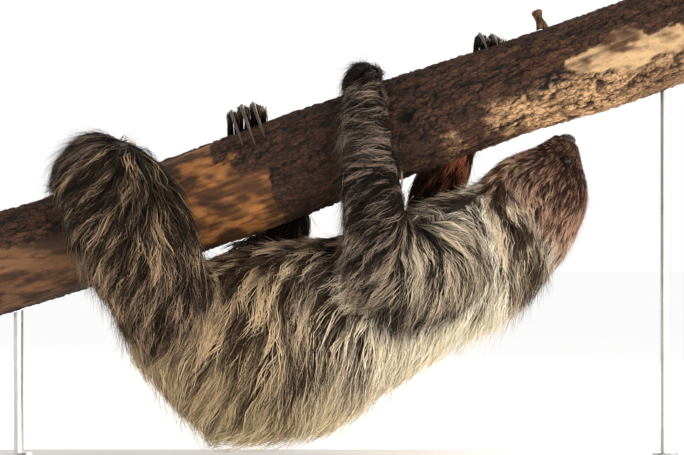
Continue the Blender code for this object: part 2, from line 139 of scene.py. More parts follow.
def cloud(points: np.ndarray, seed: int, octaves: int = 2) -> np.ndarray:
    """Smooth noise from 0 to 1: cell values blended by a cubic, with finer layers halved.

    Args:
        points: Places in cells, three numbers to a row.
        seed: Picks another pattern.
        octaves: Number of layers.

    Returns:
        One value for each row.
    """
    total = np.zeros(points.shape[:-1])
    weight = 0.0
    for layer in range(octaves):
        place = points * 2.0**layer
        base = np.floor(place)
        part = place - base
        part = part * part * (3.0 - 2.0 * part)
        value = np.zeros(points.shape[:-1])
        for corner in np.ndindex(2, 2, 2):
            near = np.where(np.array(corner, bool), part, 1.0 - part)
            value += np.prod(near, axis=-1) * lattice(base + np.array(corner), seed + layer)
        total += value * 0.5**layer
        weight += 0.5**layer
    return total / weight


def plates(points: np.ndarray, seed: int, turn_cells: int) -> tuple[np.ndarray, np.ndarray]:
    """Cracked plates: how much nearer the nearest of scattered centres is than the next.

    Args:
        points: Places in cells, along and around, two numbers to a row.
        seed: Picks another scatter.
        turn_cells: Number of cells in a full turn, so that the pattern closes.

    Returns:
        The gap between the two distances, and a value for each plate.
    """
    base = np.floor(points)
    first = np.full(points.shape[:-1], 9.0)
    second = first.copy()
    owner = np.zeros(points.shape[:-1])
    for step in np.ndindex(3, 3):
        cell = base + np.array(step) - 1.0
        wrapped = np.stack([cell[..., 0], cell[..., 1] % turn_cells, 0 * cell[..., 0]], -1)
        spot = np.stack([lattice(wrapped, seed), lattice(wrapped, seed + 1)], -1)
        away = np.linalg.norm(cell + 0.1 + 0.8 * spot - points, axis=-1)
        nearer = away < first
        second = np.where(nearer, first, np.minimum(second, away))
        owner = np.where(nearer, lattice(wrapped, seed + 2), owner)
        first = np.where(nearer, away, first)
    return second - first, owner


def make_object(name: str, points: np.ndarray, faces: np.ndarray) -> bpy.types.Object:
    """Make a smooth-shaded object from whole arrays, linked at the origin.

    Args:
        name: Name of the object and its mesh.
        points: Corner places in metres.
        faces: Corner numbers, three or four to a row.

    Returns:
        The new object.
    """
    mesh = bpy.data.meshes.new(name)
    count, sides = faces.shape
    mesh.vertices.add(len(points))
    mesh.vertices.foreach_set("co", np.ascontiguousarray(points, np.float32).ravel())
    mesh.loops.add(count * sides)
    mesh.loops.foreach_set("vertex_index", np.ascontiguousarray(faces, np.int32).ravel())
    mesh.polygons.add(count)
    mesh.polygons.foreach_set("loop_start", np.arange(0, count * sides, sides, dtype=np.int32))
    mesh.polygons.foreach_set("use_smooth", np.ones(count, bool))
    mesh.update(calc_edges=True)
    thing = bpy.data.objects.new(name.replace(" ", "_"), mesh)
    bpy.context.scene.collection.objects.link(thing)
    return thing


def write_colour(thing: bpy.types.Object, name: str, colours: np.ndarray) -> None:
    """Store one colour for each corner point of an object.

    Args:
        thing: The object.
        name: Name of the attribute.
        colours: Linear colours, three to a row.
    """
    layer = thing.data.color_attributes.new(name=name, type="FLOAT_COLOR", domain="POINT")
    full = np.ones((len(colours), 4), np.float32)
    full[:, :3] = colours
    layer.data.foreach_set("color", full.ravel())


def write_value(thing: bpy.types.Object, name: str, values: np.ndarray) -> None:
    """Store one number for each corner point of an object."""
    layer = thing.data.attributes.new(name=name, type="FLOAT", domain="POINT")
    layer.data.foreach_set("value", np.ascontiguousarray(values, np.float32))


def read_mesh(mesh: bpy.types.Mesh) -> tuple[np.ndarray, np.ndarray]:
    """Read a mesh as points and triangles.

    Args:
        mesh: The mesh.

    Returns:
        Points in metres, and three point numbers for each triangle.
    """
    points = np.empty(len(mesh.vertices) * 3)
    mesh.vertices.foreach_get("co", points)
    mesh.calc_loop_triangles()
    faces = np.empty(len(mesh.loop_triangles) * 3, np.int32)
    mesh.loop_triangles.foreach_get("vertices", faces)
    return points.reshape(-1, 3), faces.reshape(-1, 3)


def merged_node(name: str) -> tuple[np.ndarray, np.ndarray]:
    """Read a CAD node with its loose triangles joined where their corners coincide.

    Args:
        name: The node.

    Returns:
        Points and triangles.
    """
    points, faces = read_mesh(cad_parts[name].data)
    _, first, number = np.unique(
        np.round(points, 6), axis=0, return_index=True, return_inverse=True
    )
    faces = number.reshape(-1)[faces]
    whole = (faces[:, 0] != faces[:, 1]) & (faces[:, 1] != faces[:, 2])
    whole &= faces[:, 2] != faces[:, 0]
    return points[first], faces[whole]


def corner_normals(points: np.ndarray, faces: np.ndarray) -> np.ndarray:
    """Return unit normals at the points: the sum of the normals of the faces around each."""
    first, second, third = (points[faces[:, k]] for k in range(3))
    normal = np.cross(second - first, third - first)
    total = np.zeros_like(points)
    for k in range(3):
        for axis in range(3):
            total[:, axis] += np.bincount(faces[:, k], normal[:, axis], len(points))
    return unit(total)


def relax(values: np.ndarray, faces: np.ndarray, rounds: int, share: float = 0.5) -> np.ndarray:
    """Smooth values over a mesh: each moves part of the way to the mean of its neighbours.

    Args:
        values: One row for each point.
        faces: Triangles that say which points are neighbours.
        rounds: Number of times.
        share: How far each value moves.

    Returns:
        The smoothed rows.
    """
    out = values.reshape(len(values), -1).astype(float)
    start = np.concatenate([faces[:, 0], faces[:, 1], faces[:, 2]])
    end = np.concatenate([faces[:, 1], faces[:, 2], faces[:, 0]])
    count = np.bincount(start, minlength=len(out)) + np.bincount(end, minlength=len(out))
    for _ in range(rounds):
        for column in range(out.shape[1]):
            line = out[:, column]
            total = np.bincount(start, line[end], len(out)) + np.bincount(
                end, line[start], len(out)
            )
            out[:, column] = mix(line, total / np.maximum(count, 1), share)
    return out.reshape(values.shape)


def remeshed(name: str, points: np.ndarray, faces: np.ndarray, cell: float) -> bpy.types.Mesh:
    """Wrap shapes that overlap in one even closed mesh.

    Args:
        name: Name of the new mesh.
        points: Points of all the shapes.
        faces: Their triangles.
        cell: Size of a cell in metres.

    Returns:
        The new mesh.
    """
    source = make_object(name, points, faces)
    wrap = source.modifiers.new("wrap", "REMESH")
    wrap.mode = "VOXEL"
    wrap.voxel_size = cell
    graph = bpy.context.evaluated_depsgraph_get()
    mesh = bpy.data.meshes.new_from_object(source.evaluated_get(graph))
    bpy.data.objects.remove(source)
    return mesh


# ------------------------------------------------------------------------- materials


class Nodes:
    """A short way to add and join shader nodes in one tree."""

    def __init__(self, tree: bpy.types.NodeTree) -> None:
        """Keep the tree."""
        self.tree = tree

    def add(self, kind: str, **sockets: object) -> bpy.types.Node:
        """Add a node, setting inputs from values and joining them from other sockets.

        Args:
            kind: Blender's name of the node.
            **sockets: Inputs by name with spaces as underscores.

        Returns:
            The node.
        """
        node = self.tree.nodes.new(kind)
        for name, value in sockets.items():
            socket = node.inputs[name.replace("_", " ")]
            if isinstance(value, bpy.types.NodeSocket):
                self.tree.links.new(value, socket)
            else:
                socket.default_value = value
        return node

    def blend(self, share: object, first: object, second: object) -> bpy.types.NodeSocket:
        """Mix two colours by a share, each a value or a socket, and return the result."""
        node = self.tree.nodes.new("ShaderNodeMix")
        node.data_type = "RGBA"
        for socket, value in ((node.inputs[0], share), (node.inputs[6], first),
                              (node.inputs[7], second)):
            if isinstance(value, bpy.types.NodeSocket):
                self.tree.links.new(value, socket)
            else:
                plain = isinstance(value, float)
                socket.default_value = value if plain else (*value[:3], 1.0)
        return node.outputs[2]

    def maths(self, operation: str, first: object, second: object) -> bpy.types.NodeSocket:
        """Join two numbers by an operation and return the result."""
        node = self.tree.nodes.new("ShaderNodeMath")
        node.operation = operation
        for socket, value in zip(node.inputs, (first, second)):
            if isinstance(value, bpy.types.NodeSocket):
                self.tree.links.new(value, socket)
            else:
                socket.default_value = value
        return node.outputs[0]

    def span(self, value: bpy.types.NodeSocket, low: float, high: float) -> bpy.types.NodeSocket:
        """Return a 0 to 1 value stretched to run from low to high."""
        node = self.add("ShaderNodeMapRange", Value=value, To_Min=low, To_Max=high)
        return node.outputs[0]


def mottle_group() -> bpy.types.NodeTree:
    """Build the group that every finish shares: soft blotches and fine grain.

    Returns:
        A group with inputs Place, Size and Grain, and outputs Blotch, Grain and Height.
    """
    tree = bpy.data.node_groups.new("mottling", "ShaderNodeTree")
    for name, kind in (("Place", "NodeSocketVector"), ("Size", "NodeSocketFloat"),
                       ("Grain", "NodeSocketFloat")):
        tree.interface.new_socket(name=name, in_out="INPUT", socket_type=kind)
    for name in ("Blotch", "Grain", "Height"):
        tree.interface.new_socket(name=name, in_out="OUTPUT", socket_type="NodeSocketFloat")
    nodes = Nodes(tree)
    given = nodes.add("NodeGroupInput")
    blotch = nodes.add("ShaderNodeTexNoise", Vector=given.outputs["Place"],
                       Scale=given.outputs["Size"], Detail=4.0, Roughness=0.6)
    grain = nodes.add("ShaderNodeTexNoise", Vector=given.outputs["Place"],
                      Scale=given.outputs["Grain"], Detail=5.0, Roughness=0.7)
    height = nodes.maths("ADD", nodes.maths("MULTIPLY", blotch.outputs[0], 0.4),
                         nodes.maths("MULTIPLY", grain.outputs[0], 0.6))
    shown = nodes.add("NodeGroupOutput")
    tree.links.new(blotch.outputs[0], shown.inputs["Blotch"])
    tree.links.new(grain.outputs[0], shown.inputs["Grain"])
    tree.links.new(height, shown.inputs["Height"])
    return tree


@dataclass(frozen=True)
class Finish:
    """A finish worked out from two tones, blotches, grain and a bump.

    Attributes are the two tones, an attribute that colours it (if any), the sizes of the
    blotches and the grain in marks per metre, the roughness range and the bump in metres.
    """

    name: str
    dark: tuple[float, float, float] = (0.1, 0.1, 0.1)
    light: tuple[float, float, float] = (0.3, 0.3, 0.3)
    colour_layer: str = ""
    value_layer: str = ""
    blotches: float = 30.0
    grain: float = 600.0
    rough: tuple[float, float] = (0.5, 0.7)
    bump: float = 0.0003
    shine: float = 0.5
    coat: float = 0.0
    metal: float = 0.0
    grain_strength: float = 0.5

    def material(self, group: bpy.types.NodeTree) -> bpy.types.Material:
        """Build the material: tones mixed by blotches or a layer, darkened by the grain.

        Args:
            group: The shared mottling group.

        Returns:
            The material.
        """
        material = bpy.data.materials.new(self.name)
        material.use_nodes = True
        tree = material.node_tree
        nodes = Nodes(tree)
        shader = tree.nodes["Principled BSDF"]
        place = nodes.add("ShaderNodeTexCoord").outputs["Object"]
        marks = nodes.add("ShaderNodeGroup")
        marks.node_tree = group
        tree.links.new(place, marks.inputs["Place"])
        marks.inputs["Size"].default_value = self.blotches
        marks.inputs["Grain"].default_value = self.grain
        share = nodes.span(marks.outputs["Blotch"], -0.6, 1.6)
        if self.value_layer:
            layer = nodes.add("ShaderNodeAttribute")
            layer.attribute_name = self.value_layer
            share = nodes.maths("ADD", layer.outputs["Fac"], nodes.span(
                marks.outputs["Blotch"], -0.25, 0.25))
        if self.colour_layer:
            layer = nodes.add("ShaderNodeAttribute")
            layer.attribute_name = self.colour_layer
            tone = layer.outputs["Color"]
        else:
            tone = nodes.blend(share, self.dark, self.light)
        worn = nodes.add("ShaderNodeHueSaturation", Color=tone, Value=nodes.span(
            marks.outputs["Grain"], 1.0 - self.grain_strength, 1.0 + self.grain_strength))
        tree.links.new(worn.outputs[0], shader.inputs["Base Color"])
        tree.links.new(nodes.span(marks.outputs["Grain"], *self.rough),
                       shader.inputs["Roughness"])
        if self.bump > 0.0:
            relief = nodes.add("ShaderNodeBump", Height=marks.outputs["Height"],
                               Distance=self.bump)
            tree.links.new(relief.outputs[0], shader.inputs["Normal"])
        shader.inputs["Specular IOR Level"].default_value = self.shine
        shader.inputs["Coat Weight"].default_value = self.coat
        shader.inputs["Coat Roughness"].default_value = 0.08
        shader.inputs["Metallic"].default_value = self.metal
        return material


COAT_FINISH = Finish("combed coat", colour_layer="Coat", grain=900.0, rough=(0.50, 0.70),
                     bump=0.0, shine=0.13, grain_strength=0.22)
SKIN_FINISH = Finish("undercoat and skin", colour_layer="Coat", grain=1400.0,
                     rough=(0.75, 0.95), bump=0.0012, shine=0.05, grain_strength=0.5)


@dataclass(frozen=True)
class BarkFinish:
    """Bark and bare wood: fine cracks in the bark, long grain in the wood.

    Crack cells are in metres along and across the branch, and the slope is that of the
    branch, so that both patterns run along it.
    """

    name: str = "bark and bare wood"
    slope: float = math.radians(18.6)
    cell: tuple[float, float] = (0.0105, 0.0042)
    crack: float = 0.10
    bump: float = 0.0016

    def material(self, group: bpy.types.NodeTree) -> bpy.types.Material:
        """Build the material: the colour layer, darkened in cracks where bark is left, partly darker
        bark and partly painted shade.

        Args:
            group: The shared mottling group.

        Returns:
            The material.
        """
        material = bpy.data.materials.new(self.name)
        material.use_nodes = True
        tree = material.node_tree
        nodes = Nodes(tree)
        shader = tree.nodes["Principled BSDF"]
        turned = nodes.add("ShaderNodeMapping",
                           Vector=nodes.add("ShaderNodeTexCoord").outputs["Object"])
        turned.inputs["Rotation"].default_value = (0.0, self.slope, 0.0)
        marks = nodes.add("ShaderNodeGroup")
        marks.node_tree = group
        tree.links.new(turned.outputs[0], marks.inputs["Place"])
        marks.inputs["Size"].default_value = 70.0
        marks.inputs["Grain"].default_value = 800.0
        along, across = self.cell
        place = nodes.add("ShaderNodeMapping", Vector=turned.outputs[0])
        place.inputs["Scale"].default_value = (1.0 / along, 1.0 / across, 1.0 / across)
        shift = nodes.add("ShaderNodeTexNoise", Vector=place.outputs[0], Scale=0.7, Detail=3.0)
        moved = nodes.add("ShaderNodeVectorMath")
        moved.operation = "MULTIPLY_ADD"
        tree.links.new(shift.outputs["Color"], moved.inputs[0])
        moved.inputs[1].default_value = (1.1, 1.1, 1.1)
        tree.links.new(place.outputs[0], moved.inputs[2])
        cells = nodes.add("ShaderNodeTexVoronoi", Vector=moved.outputs[0], Scale=1.0)
        cells.feature = "DISTANCE_TO_EDGE"
        # crack darkening: partly darker bark, partly painted shade in the cracks
        edge = nodes.add("ShaderNodeMapRange", Value=cells.outputs["Distance"],
                         From_Max=self.crack, To_Min=0.30)
        bare = nodes.add("ShaderNodeAttribute")
        bare.attribute_name = "Bare"
        opened = nodes.maths("MAXIMUM", edge.outputs[0], bare.outputs["Fac"])
        layer = nodes.add("ShaderNodeAttribute")
        layer.attribute_name = "Wood"
        value = nodes.maths("MULTIPLY", opened, nodes.span(marks.outputs["Grain"], 0.45, 1.55))
        worn = nodes.add("ShaderNodeHueSaturation", Color=layer.outputs["Color"], Value=value)
        tree.links.new(worn.outputs[0], shader.inputs["Base Color"])
        tree.links.new(nodes.span(marks.outputs["Grain"], 0.62, 0.92),
                       shader.inputs["Roughness"])
        height = nodes.maths("ADD", nodes.maths("MULTIPLY", opened, 0.7), marks.outputs["Height"])
        relief = nodes.add("ShaderNodeBump", Height=height, Distance=self.bump)
        tree.links.new(relief.outputs[0], shader.inputs["Normal"])
        shader.inputs["Specular IOR Level"].default_value = 0.25
        return material


BARK_FINISH = BarkFinish()
HORN_FINISH = Finish("claw horn", dark=(0.010, 0.007, 0.006), light=(0.050, 0.037, 0.028),
                     value_layer="Along", blotches=120.0, grain=1500.0, rough=(0.34, 0.58),
                     bump=0.0001, shine=0.3, coat=0.0, grain_strength=0.35)
NOSE_FINISH = Finish("bare nose", dark=(0.014, 0.010, 0.009), light=(0.060, 0.040, 0.034),
                     blotches=160.0, grain=1300.0, rough=(0.42, 0.62), bump=0.0004,
                     shine=0.3, grain_strength=0.4)
LID_FINISH = Finish("eyelid", dark=(0.006, 0.004, 0.0035), light=(0.018, 0.011, 0.009),
                    blotches=300.0, grain=2500.0, rough=(0.6, 0.8), bump=0.0001,
                    shine=0.04)
EYE_FINISH = Finish("wet eye", dark=(0.002, 0.0015, 0.0015), light=(0.020, 0.009, 0.005),
                    value_layer="Iris", blotches=900.0, grain=3000.0, rough=(0.10, 0.18),
                    bump=0.0, shine=0.12, grain_strength=0.2)
STEEL_FINISH = Finish("brushed steel rod", dark=(0.50, 0.50, 0.51), light=(0.68, 0.68, 0.69),
                      blotches=25.0, grain=2500.0, rough=(0.22, 0.42), bump=0.00005,
                      metal=1.0, grain_strength=0.12)
BOARD_FINISH = Finish("painted board", dark=(0.52, 0.51, 0.50), light=(0.60, 0.59, 0.57),
                      blotches=9.0, grain=1800.0, rough=(0.38, 0.55), bump=0.0001,
                      grain_strength=0.06)
FLOOR_FINISH = Finish("studio floor", dark=(0.955, 0.955, 0.955), light=(0.97, 0.97, 0.97),
                      blotches=0.8, grain=90.0, rough=(0.8, 0.95), bump=0.0, shine=0.0,
                      grain_strength=0.01)


# ------------------------------------------------------------------ the lie of the coat


# Each limb's colour of pale hair on a screen, and its share of pale hair.
LIMB_TONES = {
    "forearm_left": ((156, 137, 124), 0.31), "upper_arm_left": ((216, 198, 174), 0.46),
    "hand_left": ((92, 74, 66), 0.22), "thigh_left": ((208, 177, 147), 0.36),
    "shank_left": ((200, 169, 138), 0.33), "foot_left": ((146, 124, 112), 0.30),
    "forearm_right": ((112, 66, 46), 0.22), "upper_arm_right": ((150, 116, 90), 0.4),
    "hand_right": ((122, 96, 78), 0.4), "thigh_right": ((104, 84, 72), 0.35),
    "shank_right": ((90, 70, 62), 0.30), "foot_right": ((112, 92, 78), 0.4),
}


@dataclass
class BodyMap:
    """Where things are on the animal, read from the CAD solids."""

    stations: int = 14
    x: np.ndarray = field(init=False)
    middle: np.ndarray = field(init=False)
    half: np.ndarray = field(init=False)
    whorl: np.ndarray = field(init=False)
    nose: np.ndarray = field(init=False)
    head_low: np.ndarray = field(init=False)
    elbow: np.ndarray = field(init=False)
    eye: np.ndarray = field(init=False)
    foot_top: float = field(init=False)
    lowest: float = field(init=False)

    def __post_init__(self) -> None:
        """Measure the mid height and half height of the body along X, and the marks."""
        points = np.concatenate([merged_node(n)[0] for n in ("trunk", "neck")])
        edges = np.linspace(points[:, 0].min(), points[:, 0].max(), self.stations + 1)
        slot = np.clip(np.digitize(points[:, 0], edges) - 1, 0, self.stations - 1)
        top = np.array([points[slot == k, 2].max() for k in range(self.stations)])
        low = np.array([points[slot == k, 2].min() for k in range(self.stations)])
        self.x = (edges[1:] + edges[:-1]) / 2.0
        self.middle = (top + low) / 2.0
        self.half = np.maximum((top - low) / 2.0, 0.03)
        arm_low, arm_high = (np.array(c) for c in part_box("forearm_left"))
        self.whorl = np.array([arm_high[0], arm_low[1] + 0.02, mix(arm_low[2], arm_high[2], 0.42)])
        self.elbow = np.array([(arm_low[0] + arm_high[0]) / 2.0, arm_low[1], arm_low[2]])
        foot_low, foot_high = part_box("foot_left")
        self.foot_top = (foot_low[0] + foot_high[0]) / 2.0 + 0.01
        self.nose = np.mean(merged_node("nose")[0], axis=0)
        self.eye = np.mean(merged_node("eye_left")[0], axis=0)
        self.lowest = merged_node("trunk")[0][:, 2].min() - 0.004
        self.head_low = np.mean(merged_node("neck")[0], axis=0)

    def rise(self, points: np.ndarray) -> np.ndarray:
        """Return the height on the body, from -1 at the back below to 1 at the belly."""
        middle = np.interp(points[:, 0], self.x, self.middle)
        half = np.interp(points[:, 0], self.x, self.half)
        return np.clip((points[:, 2] - middle) / half, -1.0, 1.0)

    def flow(self, points: np.ndarray, normals: np.ndarray, parts: np.ndarray) -> np.ndarray:
        """Comb the coat: a direction for each place, laid flat on the skin.

        The body's hair hangs down and slants to the rump, turning the other way on the
        rump. The near forearm's runs across the arm, and hair spreads from a whorl in the
        bend of that arm: a unit vector away from it, fading with distance.

        Args:
            points: Places on the skin.
            normals: Normals there.
            parts: Number of the node in FLESH at each place.

        Returns:
            Unit tangents.
        """
        x, y, z = points.T
        names = np.array(FLESH)[parts]
        lean = np.interp(x, [-0.27, -0.22, -0.15, -0.05, 0.10, 0.20],
                         [0.40, 0.05, -0.35, -0.50, -0.42, -0.22])
        way = np.stack([lean, 0.0 * x, np.full_like(x, -1.0)], -1)
        face = np.isin(names, Part.FACE.value)
        back = unit(self.head_low - self.nose)
        way[face] = back * 1.0 + np.array([-0.05, 0.0, -0.4])
        arm = names == "forearm_left"
        across = np.interp(z, [0.23, 0.30, 0.38, 0.44, 0.48], [-0.55, -0.80, -0.93, -0.80, -0.35])
        way[arm] = np.stack([across, 0.0 * x, -np.sqrt(1.0 - across**2)], -1)[arm]
        way[names == "upper_arm_left"] = (-0.25, 0.0, -1.0)
        way[names == "thigh_left"] = (-0.32, 0.0, -1.0)
        shank = names == "shank_left"
        inner = np.clip((x - np.interp(z, [0.20, 0.36], [-0.19, -0.27])) / 0.045, -1.0, 1.0)
        way[shank] = np.stack([0.45 * inner - 0.40, 0.0 * x, -0.9 + 0.0 * x], -1)[shank]
        foot = names == "foot_left"
        spread = np.interp(x - self.foot_top, [0.0, 0.035], [-1.0, 0.5])
        lift = np.interp(z, [0.33, 0.38, 0.415], [-0.85, -0.45, 0.50])
        way[foot] = np.stack([spread, -0.2 + 0.0 * x, lift], -1)[foot]
        way[names == "hand_left"] = (-0.45, -0.55, -0.8)
        for name in ("thigh_right", "shank_right", "upper_arm_right", "forearm_right"):
            way[names == name] = (-0.35, 0.0, -1.0)
        for name in ("foot_right", "hand_right"):
            way[names == name] = (0.15, 0.6, -0.75)
        away = points - self.whorl
        far = np.linalg.norm(away, axis=1, keepdims=True)
        pull = 1.7 * np.exp(-far / 0.075) * (y < 0.0)[:, None]
        near = np.isin(names, ("forearm_left", "upper_arm_left", "trunk", "neck"))[:, None]
        way = unit(way) + unit(away) * pull * near
        turn = cloud(points / 0.055, 11) - 0.5
        turn_fine = cloud(points / 0.018, 13) - 0.5
        side = np.cross(normals, way)
        way = way + side * (1.4 * turn + 0.9 * turn_fine)[:, None]
        return unit(way - normals * np.sum(way * normals, axis=1, keepdims=True))

    def depth(self, points: np.ndarray, normals: np.ndarray, parts: np.ndarray) -> np.ndarray:
        """Return the depth of the coat: thick on the back, thin on belly, face and paws."""
        names = np.array(FLESH)[parts]
        low = 1.0 - ease(-0.9, 0.9, normals[:, 2])
        deep = mix(0.010, 0.034, low)
        forward = np.linalg.norm(points - self.nose, axis=1)
        deep = np.where(names == "neck", mix(0.0075, deep, ease(0.08, 0.21, forward)), deep)
        deep = np.where(names == "head", mix(0.0022, 0.0075, ease(0.03, 0.10, forward)), deep)
        for name, value in (("muzzle", 0.0011), ("ear_left", 0.0020), ("ear_right", 0.0020),
                            ("hand_left", 0.0080), ("hand_right", 0.0060),
                            ("foot_left", 0.0100), ("foot_right", 0.0060)):
            deep = np.where(names == name, value, deep)
        for limb, value in (("thigh", 0.014), ("shank", 0.012), ("upper_arm", 0.013),
                            ("forearm", 0.0105)):
            deep = np.where(np.char.startswith(names, limb), value, deep)
        return deep

    def ridges(self, points: np.ndarray, parts: np.ndarray) -> np.ndarray:
        """Return 1 on the ridges of the coat, where locks lie high and pale, and 0 in its valleys,
        where they lie low and dark, partly painted light and shade.

        Body ridges are long and broad, and those of the limbs and the face are small.
        """
        swell = cloud(points / np.array([0.017, 0.017, 0.028]), 17, 3)
        small = cloud(points / np.array([0.009, 0.009, 0.020]), 19, 3)
        broad = np.isin(np.array(FLESH)[parts], Part.BODY.value)
        return np.clip((np.where(broad, swell, small) - 0.5) * 2.6 + 0.5, 0.0, 1.0)

    def markings_and_painted_light(self, points: np.ndarray, normals: np.ndarray,
                 parts: np.ndarray) -> tuple[np.ndarray, np.ndarray, np.ndarray]:
        """Give the marks of colour that skin and coat share, with painted light and shade among
        them.

        Args:
            points: Places on the skin.
            normals: Normals there; not used.
            parts: Number of the node in FLESH at each place.

        Returns:
            The pale colour, the dark colour, and the share of pale hair from 0 to 1.
        """
        names = np.array(FLESH)[parts]
        tones = self.trunk_tones(points, names)
        tones = self.face_tones(points, names, tones)
        tones = self.arm_shade(points, names, tones)
        pale, dark, share = self.limb_tones(points, names, tones)
        patch = cloud(points / 0.035, 21)[:, None] - 0.5
        return pale, dark, np.clip(share + 0.35 * patch, 0.05, 0.95)

    def trunk_tones(self, points: np.ndarray, names: np.ndarray) -> Tones:
        """Colour trunk and neck: cream at the shoulder, browner belly, pale underneath. The cream
        front and pale lower half are partly the coat's own colour and partly painted light from the
        right and below, the browner belly on top is partly painted shade, and the pale bottom edge
        is painted light shining through the hair.

        Args:
            points: Places on the skin.
            names: Name of the node at each place.

        Returns:
            The tones.
        """
        rise = self.rise(points)[:, None]
        x = points[:, :1]
        # paler towards the front: partly cream hair, partly painted light from the right
        fore = ease(-0.12, 0.12, x)
        # browner on the belly, which lies on top: partly its own colour, partly painted shade
        belly = ease(0.55, 0.98, rise)
        # painted light shining through the hair: along the bottom edge pale and dark hair alike turn
        # pale
        under = (1.0 - ease(-0.98, -0.32, rise)) * ease(-0.30, -0.20, x)
        pale = mix(paint(208, 182, 146), paint(255, 243, 222), fore)
        pale = mix(pale, paint(158, 134, 112), belly)
        pale = mix(pale, paint(255, 238, 200), under * 0.85)
        dark = mix(paint(62, 43, 33), paint(66, 47, 39), fore)
        dark = mix(dark, paint(168, 138, 100), under * 0.75)
        # more pale hair on the lower half: partly painted light from below
        lower = 1.0 - ease(-0.55, 0.45, rise)
        share = mix(mix(0.53, 0.61, fore), 0.46, belly)
        share = share + 0.16 * lower
        share = mix(share, 0.95, under * 0.9)
        neck = (names == "neck")[:, None]
        throat = ease(0.2, 0.9, rise)
        pale = np.where(neck, mix(paint(238, 220, 194), paint(158, 130, 106), throat), pale)
        return pale, dark, np.where(neck, mix(0.37, 0.50, throat), share)

    def face_tones(self, points: np.ndarray, names: np.ndarray, tones: Tones) -> Tones:
        """Turn face and cheeks brown as far as a ragged edge, and paint shade into the eye sockets.

        The painted shade in a socket darkens as a bell curve round the eye.

        Args:
            points: Places on the skin.
            names: Name of the node at each place.
            tones: The tones so far.

        Returns:
            The tones with the face.
        """
        pale, dark, share = tones
        throat = ease(0.2, 0.9, self.rise(points)[:, None])
        back = ((points - self.nose) @ np.array([-0.75, 0.0, -0.65]))[:, None]
        ragged = cloud(points / np.array([0.016, 0.016, 0.040]), 27, 2)[:, None] - 0.5
        brown = np.isin(names, (*Part.FACE.value, "neck"))[:, None]
        brown = brown * (1.0 - ease(0.072, 0.128, back + 0.07 * ragged - 0.03 * throat))
        forward = ease(0.03, 0.09, back)
        pale = mix(pale, mix(paint(164, 124, 104), paint(210, 172, 146), forward), brown)
        dark = mix(dark, mix(paint(70, 46, 40), paint(84, 56, 45), forward), brown)
        share = mix(share, mix(0.36, 0.50, forward), brown)
        # painted shade in each eye socket, darkest at the eye
        socket = np.exp(-(np.linalg.norm(points - self.eye, axis=1)[:, None] / 0.013) ** 2) * brown
        pale = mix(pale, paint(70, 46, 36), socket * 0.9)
        return pale, mix(dark, paint(24, 15, 13), socket), share

    def arm_shade(self, points: np.ndarray, names: np.ndarray, tones: Tones) -> Tones:
        """Paint the shade that the near arm casts on the trunk below and beside its elbow, and
        darken the whorl at the arm's bend.

        Each fades as a bell curve.

        Args:
            points: Places on the skin.
            names: Name of the node at each place.
            tones: The tones so far.

        Returns:
            The tones with the painted shade and the whorl.
        """
        pale, dark, share = tones
        x, y, z = points.T
        trunk = (names == "trunk")[:, None] * (y < 0.0)[:, None]
        # painted shade that the near arm casts: below the elbow and in a band beside it
        below = np.exp(-((x - self.elbow[0]) / 0.050) ** 2
                       - ((z - self.elbow[2] + 0.004) / 0.014) ** 2)
        beside = np.exp(-((x - self.elbow[0] + 0.058) / 0.013) ** 2)
        beside = beside * ease(-0.03, 0.03, z - self.elbow[2])
        shade = np.maximum(below, beside)[:, None] * trunk
        share = share * (1.0 - 0.75 * shade)
        dark = mix(dark, paint(26, 18, 15), shade)
        bend = np.exp(-(np.linalg.norm(points - self.whorl, axis=1)[:, None] / 0.062) ** 2)
        bend = bend * np.isin(names, ("upper_arm_left", *Part.BODY.value))[:, None]
        pale = mix(pale, paint(150, 130, 112), bend * 0.8)
        dark = mix(dark, paint(34, 24, 21), bend)
        return pale, dark, share * (1.0 - 0.45 * bend)

    def limb_tones(self, points: np.ndarray, names: np.ndarray, tones: Tones) -> Tones:
        """Colour the limbs from LIMB_TONES, and then three of their own places.

        The near leg darkens at its inner edge, the far arm gets painted warm rim light where it is
        high, and the near forearm is paler near the elbow.

        Args:
            points: Places on the skin.
            names: Name of the node at each place.
            tones: The tones so far.

        Returns:
            The tones with the limbs.
        """
        pale, dark, share = tones
        x, _, z = points.T
        for limb, (colour, part) in LIMB_TONES.items():
            here = (names == limb)[:, None]
            pale = np.where(here, paint(*colour), pale)
            dark = np.where(here, paint(28, 18, 17), dark)
            share = np.where(here, part, share)
        leg = np.isin(names, ("shank_left", "thigh_left"))
        edge = np.interp(z, [0.20, 0.36], [-0.125, -0.225])
        share = share * (1.0 - 0.75 * leg * ease(-0.035, 0.01, x - edge))[:, None]
        # painted warm rim light on the high right edge of the far arm
        painted_rim_light = np.char.endswith(names, "arm_right") * ease(0.33, 0.36, z)
        painted_rim_light = (painted_rim_light * ease(0.10, 0.145, x))[:, None]
        pale = mix(pale, paint(172, 108, 80), painted_rim_light)
        share = mix(share, 0.62, painted_rim_light)
        elbow = (names == "forearm_left")[:, None] * (1.0 - ease(0.22, 0.31, points[:, 2:3]))
        pale = mix(pale, paint(204, 184, 160), elbow * 0.8)
        return pale, dark, mix(share, 0.40, elbow)


